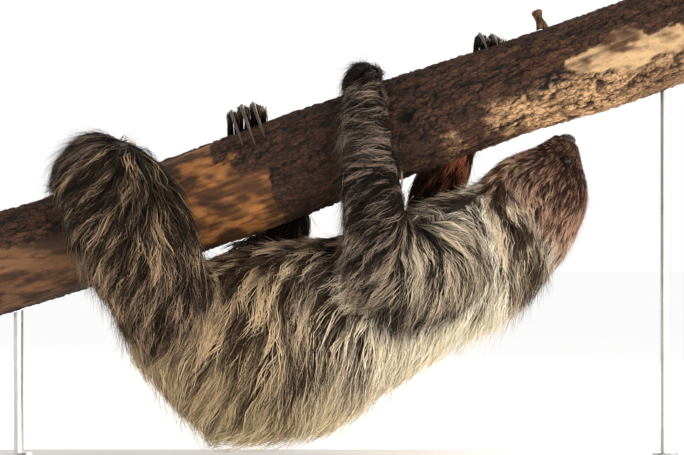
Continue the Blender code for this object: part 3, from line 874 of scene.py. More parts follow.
@dataclass
class Skin:
    """One skin for all the flesh, inside the CAD outline by the depth of the coat."""

    body: BodyMap
    cell: float = 0.0042
    overlap: float = 0.0006
    thing: bpy.types.Object = field(init=False)
    points: np.ndarray = field(init=False)
    normals: np.ndarray = field(init=False)
    faces: np.ndarray = field(init=False)
    parts: np.ndarray = field(init=False)
    depths: np.ndarray = field(init=False)
    tree: BVHTree = field(init=False)

    def build(self, group: bpy.types.NodeTree) -> None:
        """Fuse the flesh nodes, move the surface in and dress it.

        Args:
            group: The shared mottling group.
        """
        points, faces, owner, start = [], [], [], 0
        for number, name in enumerate(FLESH):
            own, triangles = merged_node(name)
            points.append(own + corner_normals(own, triangles) * self.overlap)
            faces.append(triangles + start)
            owner.append(np.full(len(triangles), number))
            start += len(own)
        points, faces, owner = (np.concatenate(a) for a in (points, faces, owner))
        mesh = remeshed("fused flesh", points, faces, self.cell)
        flesh = BVHTree.FromPolygons(points.tolist(), faces.tolist())
        outer, self.faces = read_mesh(mesh)
        outer = relax(outer, self.faces, 4)
        found = [flesh.find_nearest(p)[2] for p in outer.tolist()]
        self.parts = owner[np.array(found)]
        normals = unit(relax(corner_normals(outer, self.faces), self.faces, 6))
        depths = self.body.depth(outer, normals, self.parts)
        self.depths = relax(depths, self.faces, 10)
        self.points = relax(outer - normals * self.depths[:, None], self.faces, 2)
        self.normals = unit(relax(corner_normals(self.points, self.faces), self.faces, 3))
        self.tree = BVHTree.FromPolygons(self.points.tolist(), self.faces.tolist())
        self.thing = make_object("skin", self.points, self.faces)
        pale, dark, share = self.body.markings_and_painted_light(self.points, self.normals, self.parts)
        write_colour(self.thing, "Coat", mix(dark * 0.3, pale, share * 0.06))
        self.thing.data.materials.append(SKIN_FINISH.material(group))
        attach(self.thing, "root")
        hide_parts(*FLESH)
        LOG.info("skin: %d triangles", len(self.faces))

    def look_up(self, places: np.ndarray) -> tuple[np.ndarray, np.ndarray, np.ndarray, np.ndarray]:
        """Find the nearest places on the skin.

        Args:
            places: Points near the skin.

        Returns:
            The nearest points, their normals, coat depths and node numbers.
        """
        hits = [self.tree.find_nearest(p) for p in places.tolist()]
        spots = np.array([h[0][:] for h in hits])
        corner = self.faces[np.array([h[2] for h in hits])]
        normal = unit(self.normals[corner].mean(axis=1))
        return spots, normal, self.depths[corner].mean(axis=1), self.parts[corner[:, 0]]


@dataclass(frozen=True)
class Locks:
    """How one stretch of coat is laid.

    Lengths, widths and spreads are in metres. Strands counts all strands of the piece.
    """

    name: str
    nodes: tuple[str, ...]
    strands: int
    slot: str
    side: int = 0
    per_lock: int = 11
    rings: int = 5
    loose: float = 0.15
    width: float = 0.0016
    seed: int = 1


@dataclass
class Coat:
    """Combed locks of solid strands over the skin.

    Each lock is a path that walks over the skin along the flow while it climbs to the
    outline. Its strands start round its root, close on it towards the tip and wave with it.
    """

    body: BodyMap
    skin: Skin
    steps: int = 8
    made: int = 0

    def lengths(self, roots: np.ndarray, parts: np.ndarray) -> np.ndarray:
        """Return the length of the hair at each root, in metres."""
        names = np.array(FLESH)[parts]
        rise = self.body.rise(roots)
        body = mix(0.082, 0.026, ease(0.35, 1.0, rise))
        forward = np.linalg.norm(roots - self.body.nose, axis=1)
        body = mix(0.022, body, ease(0.10, 0.26, forward))
        head = mix(0.0070, 0.026, ease(0.025, 0.11, forward))
        out = np.where(np.isin(names, ("head", "muzzle")), head, body)
        for name, value in (("ear_left", 0.010), ("ear_right", 0.010), ("hand_left", 0.032),
                            ("hand_right", 0.026), ("foot_left", 0.046), ("foot_right", 0.028),
                            ("thigh_left", 0.056), ("shank_left", 0.052),
                            ("upper_arm_left", 0.056), ("forearm_left", 0.040),
                            ("thigh_right", 0.045), ("shank_right", 0.035),
                            ("upper_arm_right", 0.045), ("forearm_right", 0.036)):
            out = np.where(names == name, value, out)
        return out

    def roots(self, locks: Locks, count: int, rng: np.random.Generator) -> np.ndarray:
        """Scatter roots over the skin of the named nodes, closer on head and muzzle.

        Args:
            locks: The stretch of coat.
            count: Number of roots.
            rng: Source of chance.

        Returns:
            Places on the skin.
        """
        corners = self.skin.points[self.skin.faces]
        wanted = [FLESH.index(n) for n in locks.nodes]
        inside = np.isin(self.skin.parts[self.skin.faces[:, 0]], wanted)
        middle_y = corners[:, :, 1].mean(axis=1)
        if locks.side:
            inside &= middle_y * locks.side >= 0.0
        area = np.linalg.norm(np.cross(corners[:, 1] - corners[:, 0],
                                       corners[:, 2] - corners[:, 0]), axis=1)
        names = np.array(FLESH)[self.skin.parts[self.skin.faces[:, 0]]]
        dense = np.where(names == "muzzle", 5.0, np.where(names == "head", 1.9, 1.0))
        total = np.cumsum(area * inside * dense)
        even = (np.arange(count) + rng.random(count)) / count * total[-1]
        chosen = np.minimum(np.searchsorted(total, even), len(total) - 1)
        one, two = np.sqrt(rng.random((count, 1))), rng.random((count, 1))
        a, b, c = (corners[chosen, k] for k in range(3))
        return a * (1.0 - one) + b * one * (1.0 - two) + c * one * two

    def walk(self, roots: np.ndarray, lengths: np.ndarray) -> tuple[np.ndarray, ...]:
        """Walk over the skin along the flow, one even step after another.

        Args:
            roots: Places to start from.
            lengths: Length of each walk.

        Returns:
            Places on the skin, normals and coat depths at each step, and the root's node.
        """
        spot, normal, deep, parts = self.skin.look_up(roots)
        path, normals, depths, here = [spot], [normal], [deep], parts
        for _ in range(self.steps):
            way = self.body.flow(spot, normal, here)
            spot, normal, deep, here = self.skin.look_up(
                spot + way * (lengths / self.steps)[:, None]
            )
            path.append(spot)
            normals.append(normal)
            depths.append(deep)
        return np.stack(path, 1), np.stack(normals, 1), np.stack(depths, 1), parts

    def unwrap(self, roots: np.ndarray, nodes: tuple[str, ...]) -> np.ndarray:
        """Unwrap the skin of a piece as a tube.

        U is the distance along the line from the first node to the last, or along X for one
        node, and V is the angle about the line through the middles of the nodes.

        Args:
            roots: Places on the skin.
            nodes: Nodes of the piece, from one end to the other.

        Returns:
            U and V between 0 and 1.
        """
        middles = np.array([merged_node(n)[0].mean(axis=0) for n in nodes])
        if len(nodes) == 1:
            lo, hi = (np.array(c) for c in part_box(nodes[0]))
            middles = np.array([(lo + hi) / 2.0, (lo + hi) / 2.0])
            middles[0, 0], middles[1, 0] = lo[0], hi[0]
        axis = unit(middles[-1] - middles[0])
        along = (roots - middles[0]) @ axis
        knots = (middles - middles[0]) @ axis
        order = np.argsort(knots)
        centre = np.stack([np.interp(along, knots[order], middles[order, k])
                           for k in range(3)], 1)
        right = unit(np.cross(axis, np.array([0.0, 1.0, 0.0])))
        ahead = np.cross(right, axis)
        out = roots - centre
        turn = np.arctan2(out @ ahead, out @ right) / FULL_TURN + 0.5
        u = (along - along.min()) / np.ptp(along)
        return np.stack([u, turn], 1) * 0.98 + 0.01

    def build(self, locks: Locks, material: bpy.types.Material) -> bpy.types.Object:
        """Make one piece of coat.

        Args:
            locks: The stretch of coat.
            material: Its finish.

        Returns:
            The piece.
        """
        rng = np.random.default_rng(locks.seed)
        count = locks.strands // locks.per_lock
        roots = self.roots(locks, count, rng)
        spot, normal, _, parts = self.skin.look_up(roots)
        lengths = self.lengths(spot, parts) * rng.uniform(0.75, 1.2, count)
        path, normals, depths, parts = self.walk(spot, lengths)
        strands = count * locks.per_lock
        lock = np.repeat(np.arange(count), locks.per_lock)
        small = np.clip(lengths / 0.05, 0.15, 1.0)[lock]
        area = self.piece_area(locks)
        spread = math.sqrt(area / count / math.pi) * 1.15
        spread = np.minimum(spread, 0.35 * lengths + 0.001)[lock]
        across = unit(np.cross(normals[:, 0], path[:, 1] - path[:, 0]))[lock]
        ahead = unit(path[:, 1] - path[:, 0])[lock]
        offset = (across * rng.normal(0, 0.62, (strands, 1)) +
                  ahead * rng.normal(0, 0.62, (strands, 1))) * spread[:, None]
        stray = rng.random(strands) < locks.loose
        share = np.linspace(0.0, 1.0, locks.rings)[None, :] ** 0.9
        reach = rng.uniform(0.62, 1.06, strands) * np.where(stray, 1.12, 1.0)
        at = np.clip(share * reach[:, None], 0.0, 1.0) * self.steps
        low = np.minimum(at.astype(int), self.steps - 1)
        part = (at - low)[..., None]
        pick = lock[:, None]
        skin_at = mix(path[pick, low], path[pick, low + 1], part)
        up = unit(mix(normals[pick, low], normals[pick, low + 1], part))
        deep = mix(depths[pick, low], depths[pick, low + 1], part[..., 0])
        ridge = self.body.ridges(spot, parts)[lock]
        layer = rng.beta(2.2, 1.3, strands)[:, None] * mix(0.45, 1.0, ridge)[:, None]
        climb = (1.0 - (1.0 - share) ** 1.9) * mix(0.30, 1.02, layer)
        climb = climb + (rng.uniform(0.0, 0.42, strands) * stray)[:, None] * share**2
        close = 1.0 - mix(0.36, 0.86, rng.random(strands))[:, None] * ease(0.0, 1.0, share)
        close = np.where(stray[:, None], 1.0, close)
        line = skin_at + up * (deep * climb)[..., None] + offset[:, None] * close[..., None]
        line = line + self.waves(line, up, share, lock, small, rng)
        sag = np.clip(-up[..., 2:3], 0.0, 1.0) * (lengths[lock][:, None] * share**2)[..., None]
        line[..., 2:3] -= sag * rng.uniform(0.0, 0.14, (strands, 1, 1))
        loose = (lengths[lock] * rng.uniform(0.0, 0.30, strands) * stray)[:, None] * share**2
        line += up * loose[..., None]
        under = np.minimum(line[..., 2] - self.body.lowest, 0.0)
        line[..., 2] -= 0.9 * under
        piece = self.weave(locks, line, up, small, rng, stray)
        seen, seen_normal, _, seen_parts = self.skin.look_up(path[:, self.steps // 2])
        tips = self.colours(locks, seen, seen_normal, seen_parts, lock, share, rng)
        write_colour(piece, "Coat", tips.reshape(-1, 3))
        self.bake_map(piece, self.unwrap(spot[lock] + offset, locks.nodes), locks.rings)
        piece.data.materials.append(material)
        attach(piece, "root")
        self.made += len(piece.data.polygons)
        LOG.info("%s: %d strands, %d triangles", locks.name, strands, len(piece.data.polygons))
        return piece

    def toes(self, paw: str, claws: tuple[str, ...], material: bpy.types.Material,
             per_claw: int = 150) -> None:
        """Lay a far paw's toe hair over the branch, beside and between its claws.

        Each strand rises from the paw, crosses the top of the branch under the crown of
        its claw and ends in front of it: a parabola in height over an even run in Y.

        Args:
            paw: Node of the paw.
            claws: Nodes of its claws, from the rear of the body forwards.
            material: The coat's finish.
            per_claw: Strands beside each claw.
        """
        rng = np.random.default_rng(len(claws) + 40)
        shape = [merged_node(n)[0] for n in claws]
        back = np.array([c[np.argmax(c[:, 1])] for c in shape])
        crown = np.array([c[np.argmax(c[:, 2])] for c in shape])
        pick = np.repeat(np.arange(len(claws)), per_claw)
        rings, strands = 6, len(pick)
        beside = rng.choice((-1.0, 1.0), strands) * rng.uniform(0.0014, 0.0066, strands)
        beside += 0.009 * (pick == len(claws) - 1) * rng.random(strands)
        low, low_y = back[pick, 2] - 0.016, back[pick, 1] + rng.uniform(-0.004, 0.006, strands)
        peak = crown[pick, 2] - rng.uniform(0.0005, 0.006, strands) - 0.4 * np.abs(beside)
        high = peak - low
        share = np.linspace(0.0, 1.0, rings)[None, :] * rng.uniform(0.62, 1.0, (strands, 1))
        rise = (high * 4.0)[:, None] * share * (1.0 - share * 0.80) * 0.80
        bend = np.sin(5.0 * share + rng.uniform(0, 6.3, (strands, 1))) * 0.0011
        along = crown[pick, 0] + (back[pick, 0] - crown[pick, 0]) * 0.3 + beside
        line = np.stack([along[:, None] + bend, low_y[:, None] - 0.066 * share,
                         low[:, None] + rise], -1)
        up = np.broadcast_to(np.array([0.0, 0.35, 0.94]), line.shape)
        locks = Locks(f"coat {paw} toes", (paw,), strands, "limb_coat", width=0.0011)
        piece = self.weave(locks, line, up, np.full(strands, 0.8), rng, rng.random(strands) < 0.3)
        tan = (rng.random(strands) < np.where(beside > 0.006, 0.75, 0.25))[:, None, None]
        tone = mix(paint(30, 22, 21), paint(150, 122, 102), tan * ease(0.1, 0.7, share)[..., None])
        tone = tone * rng.uniform(0.7, 1.25, (strands, 1, 1))
        rows = np.concatenate([np.repeat(tone[:, :-1], 3, axis=1), tone[:, -1:]], axis=1)
        write_colour(piece, "Coat", rows.reshape(-1, 3))
        self.bake_map(piece, self.unwrap(self.skin.look_up(line[:, 0])[0], (paw,)), rings)
        piece.data.materials.append(material)
        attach(piece, "root")

    def piece_area(self, locks: Locks) -> float:
        """Return the area of skin that a piece covers, in square metres."""
        corners = self.skin.points[self.skin.faces]
        wanted = [FLESH.index(n) for n in locks.nodes]
        inside = np.isin(self.skin.parts[self.skin.faces[:, 0]], wanted)
        area = np.linalg.norm(np.cross(corners[:, 1] - corners[:, 0],
                                       corners[:, 2] - corners[:, 0]), axis=1) / 2.0
        return float(np.sum(area * inside)) * (0.5 if locks.side else 1.0)

    def waves(self, line: np.ndarray, up: np.ndarray, share: np.ndarray, lock: np.ndarray,
              small: np.ndarray, rng: np.random.Generator) -> np.ndarray:
        """Swing the strands from side to side: a sine along each, in step within a lock.

        Args:
            line: Ring centres of each strand.
            up: Skin normals at them.
            share: Share of the length at each ring.
            lock: Number of each strand's lock.
            small: Size of each strand against the longest.
            rng: Source of chance.

        Returns:
            Offsets for the ring centres.
        """
        count = lock.max() + 1
        side = unit(np.cross(up, np.gradient(line, axis=1)))
        phase = rng.random(count)[lock][:, None] + rng.normal(0, 0.06, (len(lock), 1))
        turns = rng.uniform(0.7, 1.5, count)[lock][:, None]
        swing = np.sin(FULL_TURN * (share * turns + phase)) * 0.0042
        own = np.sin(FULL_TURN * (share * 1.3 + rng.random((len(lock), 1)))) * 0.0012
        lift = np.sin(FULL_TURN * (share + rng.random((len(lock), 1)))) * 0.0009
        scale = (ease(0.0, 0.6, share) * small[:, None])[..., None]
        return (side * (swing + own)[..., None] + up * lift[..., None]) * scale

    def weave(self, locks: Locks, line: np.ndarray, up: np.ndarray, small: np.ndarray,
              rng: np.random.Generator, stray: np.ndarray) -> bpy.types.Object:
        """Turn each line of ring centres into a closed strand with three sides.

        A ring has its two edges across the skin and its ridge away from it. Widths taper
        as 1 - 0.9 of the share to the power 2.2, and the last ring is a point.

        Args:
            locks: The stretch of coat.
            line: Ring centres.
            up: Skin normals at them.
            small: Size of each strand against the longest.
            rng: Source of chance.
            stray: Which strands stand alone.

        Returns:
            The piece.
        """
        strands, rings = line.shape[:2]
        side = unit(np.cross(up, np.gradient(line, axis=1)))
        share = np.linspace(0.0, 1.0, rings)[None, :]
        width = locks.width * mix(0.55, 1.0, small) * rng.uniform(0.7, 1.25, strands)
        width = np.where(stray, width * 0.5, width)[:, None] * (1.0 - 0.9 * share**2.2) / 2.0
        width = width[..., None]
        ring = np.stack([line - side * width, line + up * width * 1.1, line + side * width], 2)
        body = ring[:, :-1].reshape(strands, -1, 3)
        points = np.concatenate([body, line[:, -1:]], axis=1)
        return make_object(locks.name, points.reshape(-1, 3),
                           self.strand_faces(strands, rings))

    def strand_faces(self, strands: int, rings: int) -> np.ndarray:
        """Return the triangles of all strands: cap, three sides between rings, and tip."""
        pattern = [(0, 1, 2)]
        for ring in range(rings - 2):
            for side in range(3):
                a, b = ring * 3 + side, ring * 3 + (side + 1) % 3
                pattern += [(a, b + 3, b), (a, a + 3, b + 3)]
        last, tip = (rings - 2) * 3, (rings - 1) * 3
        pattern += [(last + side, tip, last + (side + 1) % 3) for side in range(3)]
        own = np.array(pattern)
        first = np.arange(strands)[:, None, None] * (tip + 1)
        return (own[None] + first).reshape(-1, 3)

    def bake_map(self, piece: bpy.types.Object, roots: np.ndarray, rings: int) -> None:
        """Give each strand a patch of the map at its root's place on the unwrapped skin.

        Across the patch run the three sides, and up it runs the length of the strand.

        Args:
            piece: The piece.
            roots: U and V of each strand's root.
            rings: Rings of a strand.
        """
        pattern = [(0.0, 0.0), (0.5, 0.12), (1.0, 0.0)]
        for ring in range(rings - 2):
            low, high = ring / (rings - 1), (ring + 1) / (rings - 1)
            for side in range(3):
                a, b = side / 3, (side + 1) / 3
                pattern += [(a, low), (b, high), (b, low), (a, low), (a, high), (b, high)]
        low = (rings - 2) / (rings - 1)
        for side in range(3):
            pattern += [(side / 3, low), ((side + 0.5) / 3, 1.0), ((side + 1) / 3, low)]
        own = (np.array(pattern) - 0.5) * PATCH
        uv = (roots[:, None] + own[None]).reshape(-1, 2)
        layer = piece.data.uv_layers.new(name=BAKE_MAP)
        layer.data.foreach_set("uv", np.ascontiguousarray(uv, np.float32).ravel())

    def colours(self, locks: Locks, roots: np.ndarray, normals: np.ndarray, parts: np.ndarray,
                lock: np.ndarray, share: np.ndarray, rng: np.random.Generator) -> np.ndarray:
        """Colour the strands: dark at the root, pale or dark towards the tip.

        Args:
            locks: The stretch of coat; not used.
            roots: Where each lock reads its colour, on the skin.
            normals: Normals there.
            parts: Node numbers there.
            lock: Number of each strand's lock.
            share: Share of the length at each ring.
            rng: Source of chance.

        Returns:
            Colours for every point of every strand.
        """
        pale, dark, part = self.body.markings_and_painted_light(roots, normals, parts)
        names = np.array(FLESH)[parts]
        broad = np.isin(names, Part.BODY.value)
        fine = np.isin(names, ("head", "muzzle", "forearm_left"))
        weight = np.where(broad, 0.56, np.where(fine, 0.22, 0.46))
        deep = np.where(broad, 0.66, 0.42)[lock][:, None, None]
        # locks in the valleys of the coat come out dark and those on its ridges pale: partly the
        # coat's own locks, partly painted shade and light
        lot = weight * (1.0 - self.body.ridges(roots, parts))
        lot = lot + (1.0 - weight) * rng.random(len(roots))
        tone = ease(-0.16, 0.16, part[:, 0] - lot)[lock]
        tone = tone + rng.normal(0.0, 0.24, len(lock)) * mix(0.25, 1.0, tone)
        tone = tone + 0.45 * (rng.random(len(lock)) < 0.07)
        tone = np.clip(tone, 0.0, 1.0)[:, None, None]
        bright = rng.normal(1.0, 0.13, len(lock)).clip(0.6, 1.4)[:, None, None]
        warm = rng.normal(0.0, 0.035, len(lock))[:, None, None] * np.array([1.0, 0.0, -1.2])
        tip = mix(dark[lock][:, None] * deep, pale[lock][:, None], tone)
        root = mix(dark[lock][:, None] * 0.20, pale[lock][:, None], tone * 0.30)
        run = ease(0.0, 0.55, share)[..., None]
        colour = mix(root, tip, run) * bright * (1.0 + warm)
        rings = np.repeat(colour[:, :-1], 3, axis=1)
        return np.clip(np.concatenate([rings, colour[:, -1:]], axis=1), 0.002, 0.95)


ARM = ("upper_arm", "forearm", "hand")
LEG = ("thigh", "shank", "foot")
COATS = (
    Locks("coat body near", ("trunk",), 9000, "body_coat", side=-1, seed=3, width=0.0013,
          per_lock=9),
    Locks("coat body far", ("trunk",), 4600, "body_coat", side=1, seed=4, width=0.0023),
    Locks("coat neck", ("neck",), 5600, "body_coat", seed=5, width=0.0012,
          loose=0.26),
    Locks("coat head", ("head", "muzzle"), 12000, "face_coat", per_lock=4, rings=4,
          width=0.0007, seed=6),
    Locks("coat ears", ("ear_left", "ear_right"), 400, "face_coat", per_lock=4, rings=4,
          width=0.0009, seed=7),
    Locks("coat arm left", tuple(f"{n}_left" for n in ARM), 12000, "limb_coat", seed=11,
          rings=4, per_lock=8, width=0.0009, loose=0.24),
    Locks("coat leg left", tuple(f"{n}_left" for n in LEG), 12000, "limb_coat", seed=13,
          rings=4, per_lock=8, width=0.0009, loose=0.32),
    Locks("coat arm right", tuple(f"{n}_right" for n in ARM), 6400, "limb_coat", seed=12,
          rings=4, width=0.0013, loose=0.08),
    Locks("coat leg right", tuple(f"{n}_right" for n in LEG), 4200, "limb_coat", seed=14,
          rings=4, width=0.0018),
)


# ------------------------------------------------------------------------------ branch


@dataclass
class Branch:
    """The cut branch: bark in plates, bare wood where it has come off, and sawn ends."""

    along_count: int = 378
    around_count: int = 226
    end_rings: int = 27
    ring_step: float = 0.0058
    coarse: tuple[int, int] = (60, 48)
    turn_cells: int = 44
    bark_depth: float = 0.0048
    patches: tuple = (
        ((-0.1, 0.0, 0.12, 0.22, 0.25), (0.25, 0.25, 0.10, 0.30, -2.0), (-2.0,) * 5),
        ((0.22, 0.25, 0.315, 0.327, 0.359, 0.364, 0.401, 0.406, 0.418, 0.432),
         (-2.0, 1.00, 0.95, 0.55, 0.40, 0.08, -0.05, -0.48, -0.78, -2.0), (-2.0,) * 10),
        ((0.785, 0.800, 0.820, 0.846, 0.892, 0.919, 0.950, 1.010),
         (-2.0, 0.16, 0.22, 0.28, 0.36, 0.32, 0.06, -0.4),
         (0.20, 0.05, -0.22, -0.44, -0.50, -0.48, -0.46, -0.5)),
    )

    def spine(self) -> tuple[np.ndarray, np.ndarray]:
        """Return the middles of the two sawn ends, from the CAD branch."""
        points, _ = merged_node("perch")
        lo, hi = points[:, 0].min(), points[:, 0].max()
        left = points[points[:, 0] < lo + 0.05]
        right = points[points[:, 0] > hi - 0.05]
        return (left.min(axis=0) + left.max(axis=0)) / 2, (right.min(axis=0) + right.max(axis=0)) / 2

    def surface(self) -> tuple[np.ndarray, ...]:
        """Read the CAD branch as radii round its axis, on a grid along and around.

        Returns:
            Axis places, outward directions, radii, X places and angles on the fine grid.
        """
        points, faces = merged_node("perch")
        tree = BVHTree.FromPolygons(points.tolist(), faces.tolist())
        start, end = self.spine()
        axis = unit(end - start)
        side = np.array([0.0, -1.0, 0.0])
        top = unit(np.cross(side, axis))
        if top[2] < 0.0:
            top = -top
        reach = (points - start) @ axis
        low, high = reach.min() + 0.0015, reach.max() - 0.0015
        rows, columns = self.coarse
        s = np.linspace(low + 0.004, high - 0.004, rows)
        turn = np.arange(columns) / columns * FULL_TURN
        out = np.cos(turn)[:, None] * side + np.sin(turn)[:, None] * top
        radius = np.zeros((rows, columns))
        for i, j in np.ndindex(rows, columns):
            centre = start + axis * s[i]
            hit = tree.ray_cast(tuple(centre + out[j] * 0.2), tuple(-out[j]))
            radius[i, j] = 0.2 - hit[3] if hit[0] is not None else np.nan
        middle = np.nanmean(radius)
        radius = np.where(np.isfinite(radius), radius, middle)
        fine_s = np.linspace(low, high, self.along_count)
        fine_t = np.arange(self.around_count) / self.around_count * FULL_TURN
        wrap = np.concatenate([radius, radius[:, :1]], axis=1)
        half = np.stack([np.interp(fine_t, np.append(turn, FULL_TURN), row) for row in wrap])
        full = np.stack([np.interp(fine_s, s, column) for column in half.T], 1)
        base = start + axis * fine_s[:, None]
        out = np.cos(fine_t)[:, None] * side + np.sin(fine_t)[:, None] * top
        return base, out, full, fine_s, fine_t

    def build(self, group: bpy.types.NodeTree) -> bpy.types.Object:
        """Make the branch.

        Bark height is the crack between plates, stretched along the branch, plus finer
        scales and noise. Bare wood lies lower and smooth, with shallow grain.

        Args:
            group: The shared mottling group.

        Returns:
            The branch.
        """
        base, out, radius, s, t = self.surface()
        grid_s, grid_t = np.meshgrid(s, t, indexing="ij")
        centre = base[:, None] + out[None] * radius[..., None]
        round_part = np.stack([np.cos(grid_t), np.sin(grid_t)], -1) * 0.06
        solid = np.concatenate([grid_s[..., None], round_part], -1)
        warp = (cloud(solid / 0.03, 31) - 0.5) * 1.6
        around = grid_t / FULL_TURN * self.turn_cells
        bend = (cloud(solid / 0.020, 33, 3)[..., None] - 0.5) * np.array([2.6, 2.2])
        gap, owner = plates(np.stack([grid_s / 0.019 + warp, around], -1) + bend, 35,
                            self.turn_cells)
        gap_fine, owner_fine = plates(np.stack([grid_s / 0.009, around * 2], -1) + bend * 2, 45,
                                      self.turn_cells * 2)
        furrow = cloud(solid / np.array([0.060, 0.0075, 0.0075]), 49, 3)
        rough = cloud(solid / np.array([0.010, 0.004, 0.004]), 51, 3)
        ridge = ease(0.0, 0.32, gap) * 0.6 + ease(0.0, 0.4, gap_fine) * 0.4
        height = ridge * (0.55 + 0.25 * owner) + (furrow - 0.5) * 1.1 + (rough - 0.5) * 0.5 + 0.15
        bare = self.bare(centre, solid)
        streak = cloud(solid / np.array([0.036, 0.0040, 0.0040]), 61, 4)
        lie = mix((height - 1.0) * self.bark_depth,
                  -0.6 * self.bark_depth - 0.0016 * (streak - 0.3), bare)
        hole = self.hollow(centre)
        lie = lie - 0.010 * hole
        points = base[:, None] + out[None] * (radius + lie)[..., None]
        colour = self.colour(centre, height, owner, owner_fine, bare, streak, rough)
        # painted shade: the knot holes are darkened nearly to black
        colour = colour * (1.0 - 0.92 * hole[..., None])
        return self.close(points, colour, bare, base, group)

    def bare(self, place: np.ndarray, solid: np.ndarray) -> np.ndarray:
        """Return 1 where the bark has come off: three ragged patches seen from the front.

        Args:
            place: Places on the branch.
            solid: The same, as places for noise.

        Returns:
            A mask from 0 to 1.
        """
        start, end = self.spine()
        length = end[0] - start[0]
        level = np.interp(place[..., 0], [start[0], end[0]], [start[2], end[2]])
        rise = (place[..., 2] - level) / 0.06
        run = (place[..., 0] - start[0]) / length
        front = ease(-0.012, 0.012, -place[..., 1])
        ragged = (cloud(solid / np.array([0.034, 0.020, 0.020]), 71, 4) - 0.5) * 2.0
        mask = np.zeros(run.shape)
        for knots, tops, lows in self.patches:
            inside = np.minimum(np.interp(run, knots, tops) - rise,
                                rise - np.interp(run, knots, lows))
            mask = np.maximum(mask, ease(0.0, 0.07, inside + ragged * 0.42))
        return mask * front

    def hollow(self, place: np.ndarray) -> np.ndarray:
        """Return 1 in the two knot holes on the front of the branch."""
        start, end = self.spine()
        total = np.zeros(place.shape[:-1])
        for run, rise, size in ((0.584, 0.12, 0.0065), (0.848, -0.55, 0.0042)):
            out = np.array([0.0, -math.sqrt(1.0 - rise**2), rise]) * 0.06
            spot = start + (end - start) * run + out
            away = (place - spot) / np.array([size * 1.4, size * 2.0, size])
            total = np.maximum(total, np.exp(-np.sum(away**2, axis=-1) ** 2))
        return total

    def colour(self, place: np.ndarray, height: np.ndarray, owner: np.ndarray,
               owner_fine: np.ndarray, bare: np.ndarray, streak: np.ndarray,
               rough: np.ndarray) -> np.ndarray:
        """Colour the branch: bark, and bare wood where the bark has come off.

        Args:
            place: Places on the branch.
            height: Height of the bark.
            owner: Value of each large plate.
            owner_fine: Value of each small scale.
            bare: Where the bark has come off.
            streak: Grain of the bare wood.
            rough: Fine noise.

        Returns:
            Linear colours.
        """
        start, end = self.spine()
        run = ((place[..., 0] - start[0]) / (end[0] - start[0]))[..., None]
        level = np.interp(place[..., 0], [start[0], end[0]], [start[2], end[2]])
        rise = ((place[..., 2] - level) / 0.06)[..., None]
        blotch = cloud(place / np.array([0.026, 0.015, 0.015]), 75, 3)[..., None]
        bark = self.bark_colour(run, rise, blotch, height, (0.5 * owner + 0.5 * owner_fine))
        return mix(bark, self.wood_colour(place, run, blotch, streak, rough), bare[..., None])

    def bark_colour(self, run: np.ndarray, rise: np.ndarray, blotch: np.ndarray,
                    height: np.ndarray, tone: np.ndarray) -> np.ndarray:
        """Colour the bark: nearly black cracks, partly darker bark and partly painted shade; brown
        plates, with painted shade on the middle of the branch; and painted warm light on a stretch
        of the underside at the right.

        Args:
            run: Share of the way along the branch.
            rise: Height on the branch, -1 below and 1 on top.
            blotch: Broad noise.
            height: Height of the bark.
            tone: Value of the plates.

        Returns:
            Linear colours.
        """
        tone = tone[..., None]
        plate = mix(paint(36, 21, 15), paint(88, 57, 40), tone)
        # painted shade on the middle stretch of the branch
        painted_shade_mid = np.exp(-((run - 0.50) / 0.10) ** 2)
        plate = plate * (1.0 - 0.5 * painted_shade_mid)
        # painted warm light on the underside towards the right end, strongest on the paler plates
        painted_warm_light = ease(0.66, 0.78, run + 0.25 * (blotch - 0.5)) * (1.0 - ease(-0.42, -0.02, rise))
        painted_warm_light = painted_warm_light * mix(1.0, 0.50, ease(0.86, 0.92, run))
        plate = mix(plate, paint(198, 158, 118), 0.9 * painted_warm_light * ease(0.2, 0.8, tone + 0.2))
        # cracks darkened nearly to black: partly darker bark, partly painted shade
        return mix(paint(9, 5, 4), plate, ease(0.12, 0.62, height)[..., None])

    def wood_colour(self, place: np.ndarray, run: np.ndarray, blotch: np.ndarray,
                    streak: np.ndarray, rough: np.ndarray) -> np.ndarray:
        """Colour the bare wood: dull at the left, orange in the middle, pale at the right, with
        painted shadow of the near leg towards the left.

        Args:
            place: Places on the branch.
            run: Share of the way along the branch.
            blotch: Broad noise.
            streak: Grain of the bare wood.
            rough: Fine noise.

        Returns:
            Linear colours.
        """
        left = 1.0 - ease(0.20, 0.26, run)
        right = ease(0.70, 0.80, run)
        grain = ease(0.2, 0.8, streak)[..., None]
        light = ease(0.10, 0.90, 0.40 * grain + 0.60 * ease(0.34, 0.66, blotch))
        wood = mix(paint(66, 41, 24), paint(150, 98, 53), light)
        # painted shadow of the near leg: the wood darkens towards the left
        wood = wood * mix(0.45, 1.0, ease(0.24, 0.31, run))
        wood = mix(wood, mix(paint(58, 38, 26), paint(112, 79, 54), light), left)
        wood = mix(wood, mix(paint(74, 50, 32), paint(180, 149, 112), light), right)
        stain = cloud(place / np.array([0.034, 0.0055, 0.0055]), 77, 4)
        stain = ease(0.58, 0.64, stain)[..., None] * mix(0.60, 0.30, right)
        wood = mix(wood, wood * np.array([0.34, 0.30, 0.28]), stain)
        return mix(wood, wood * 0.45, ease(0.60, 0.72, rough)[..., None] * 0.5)

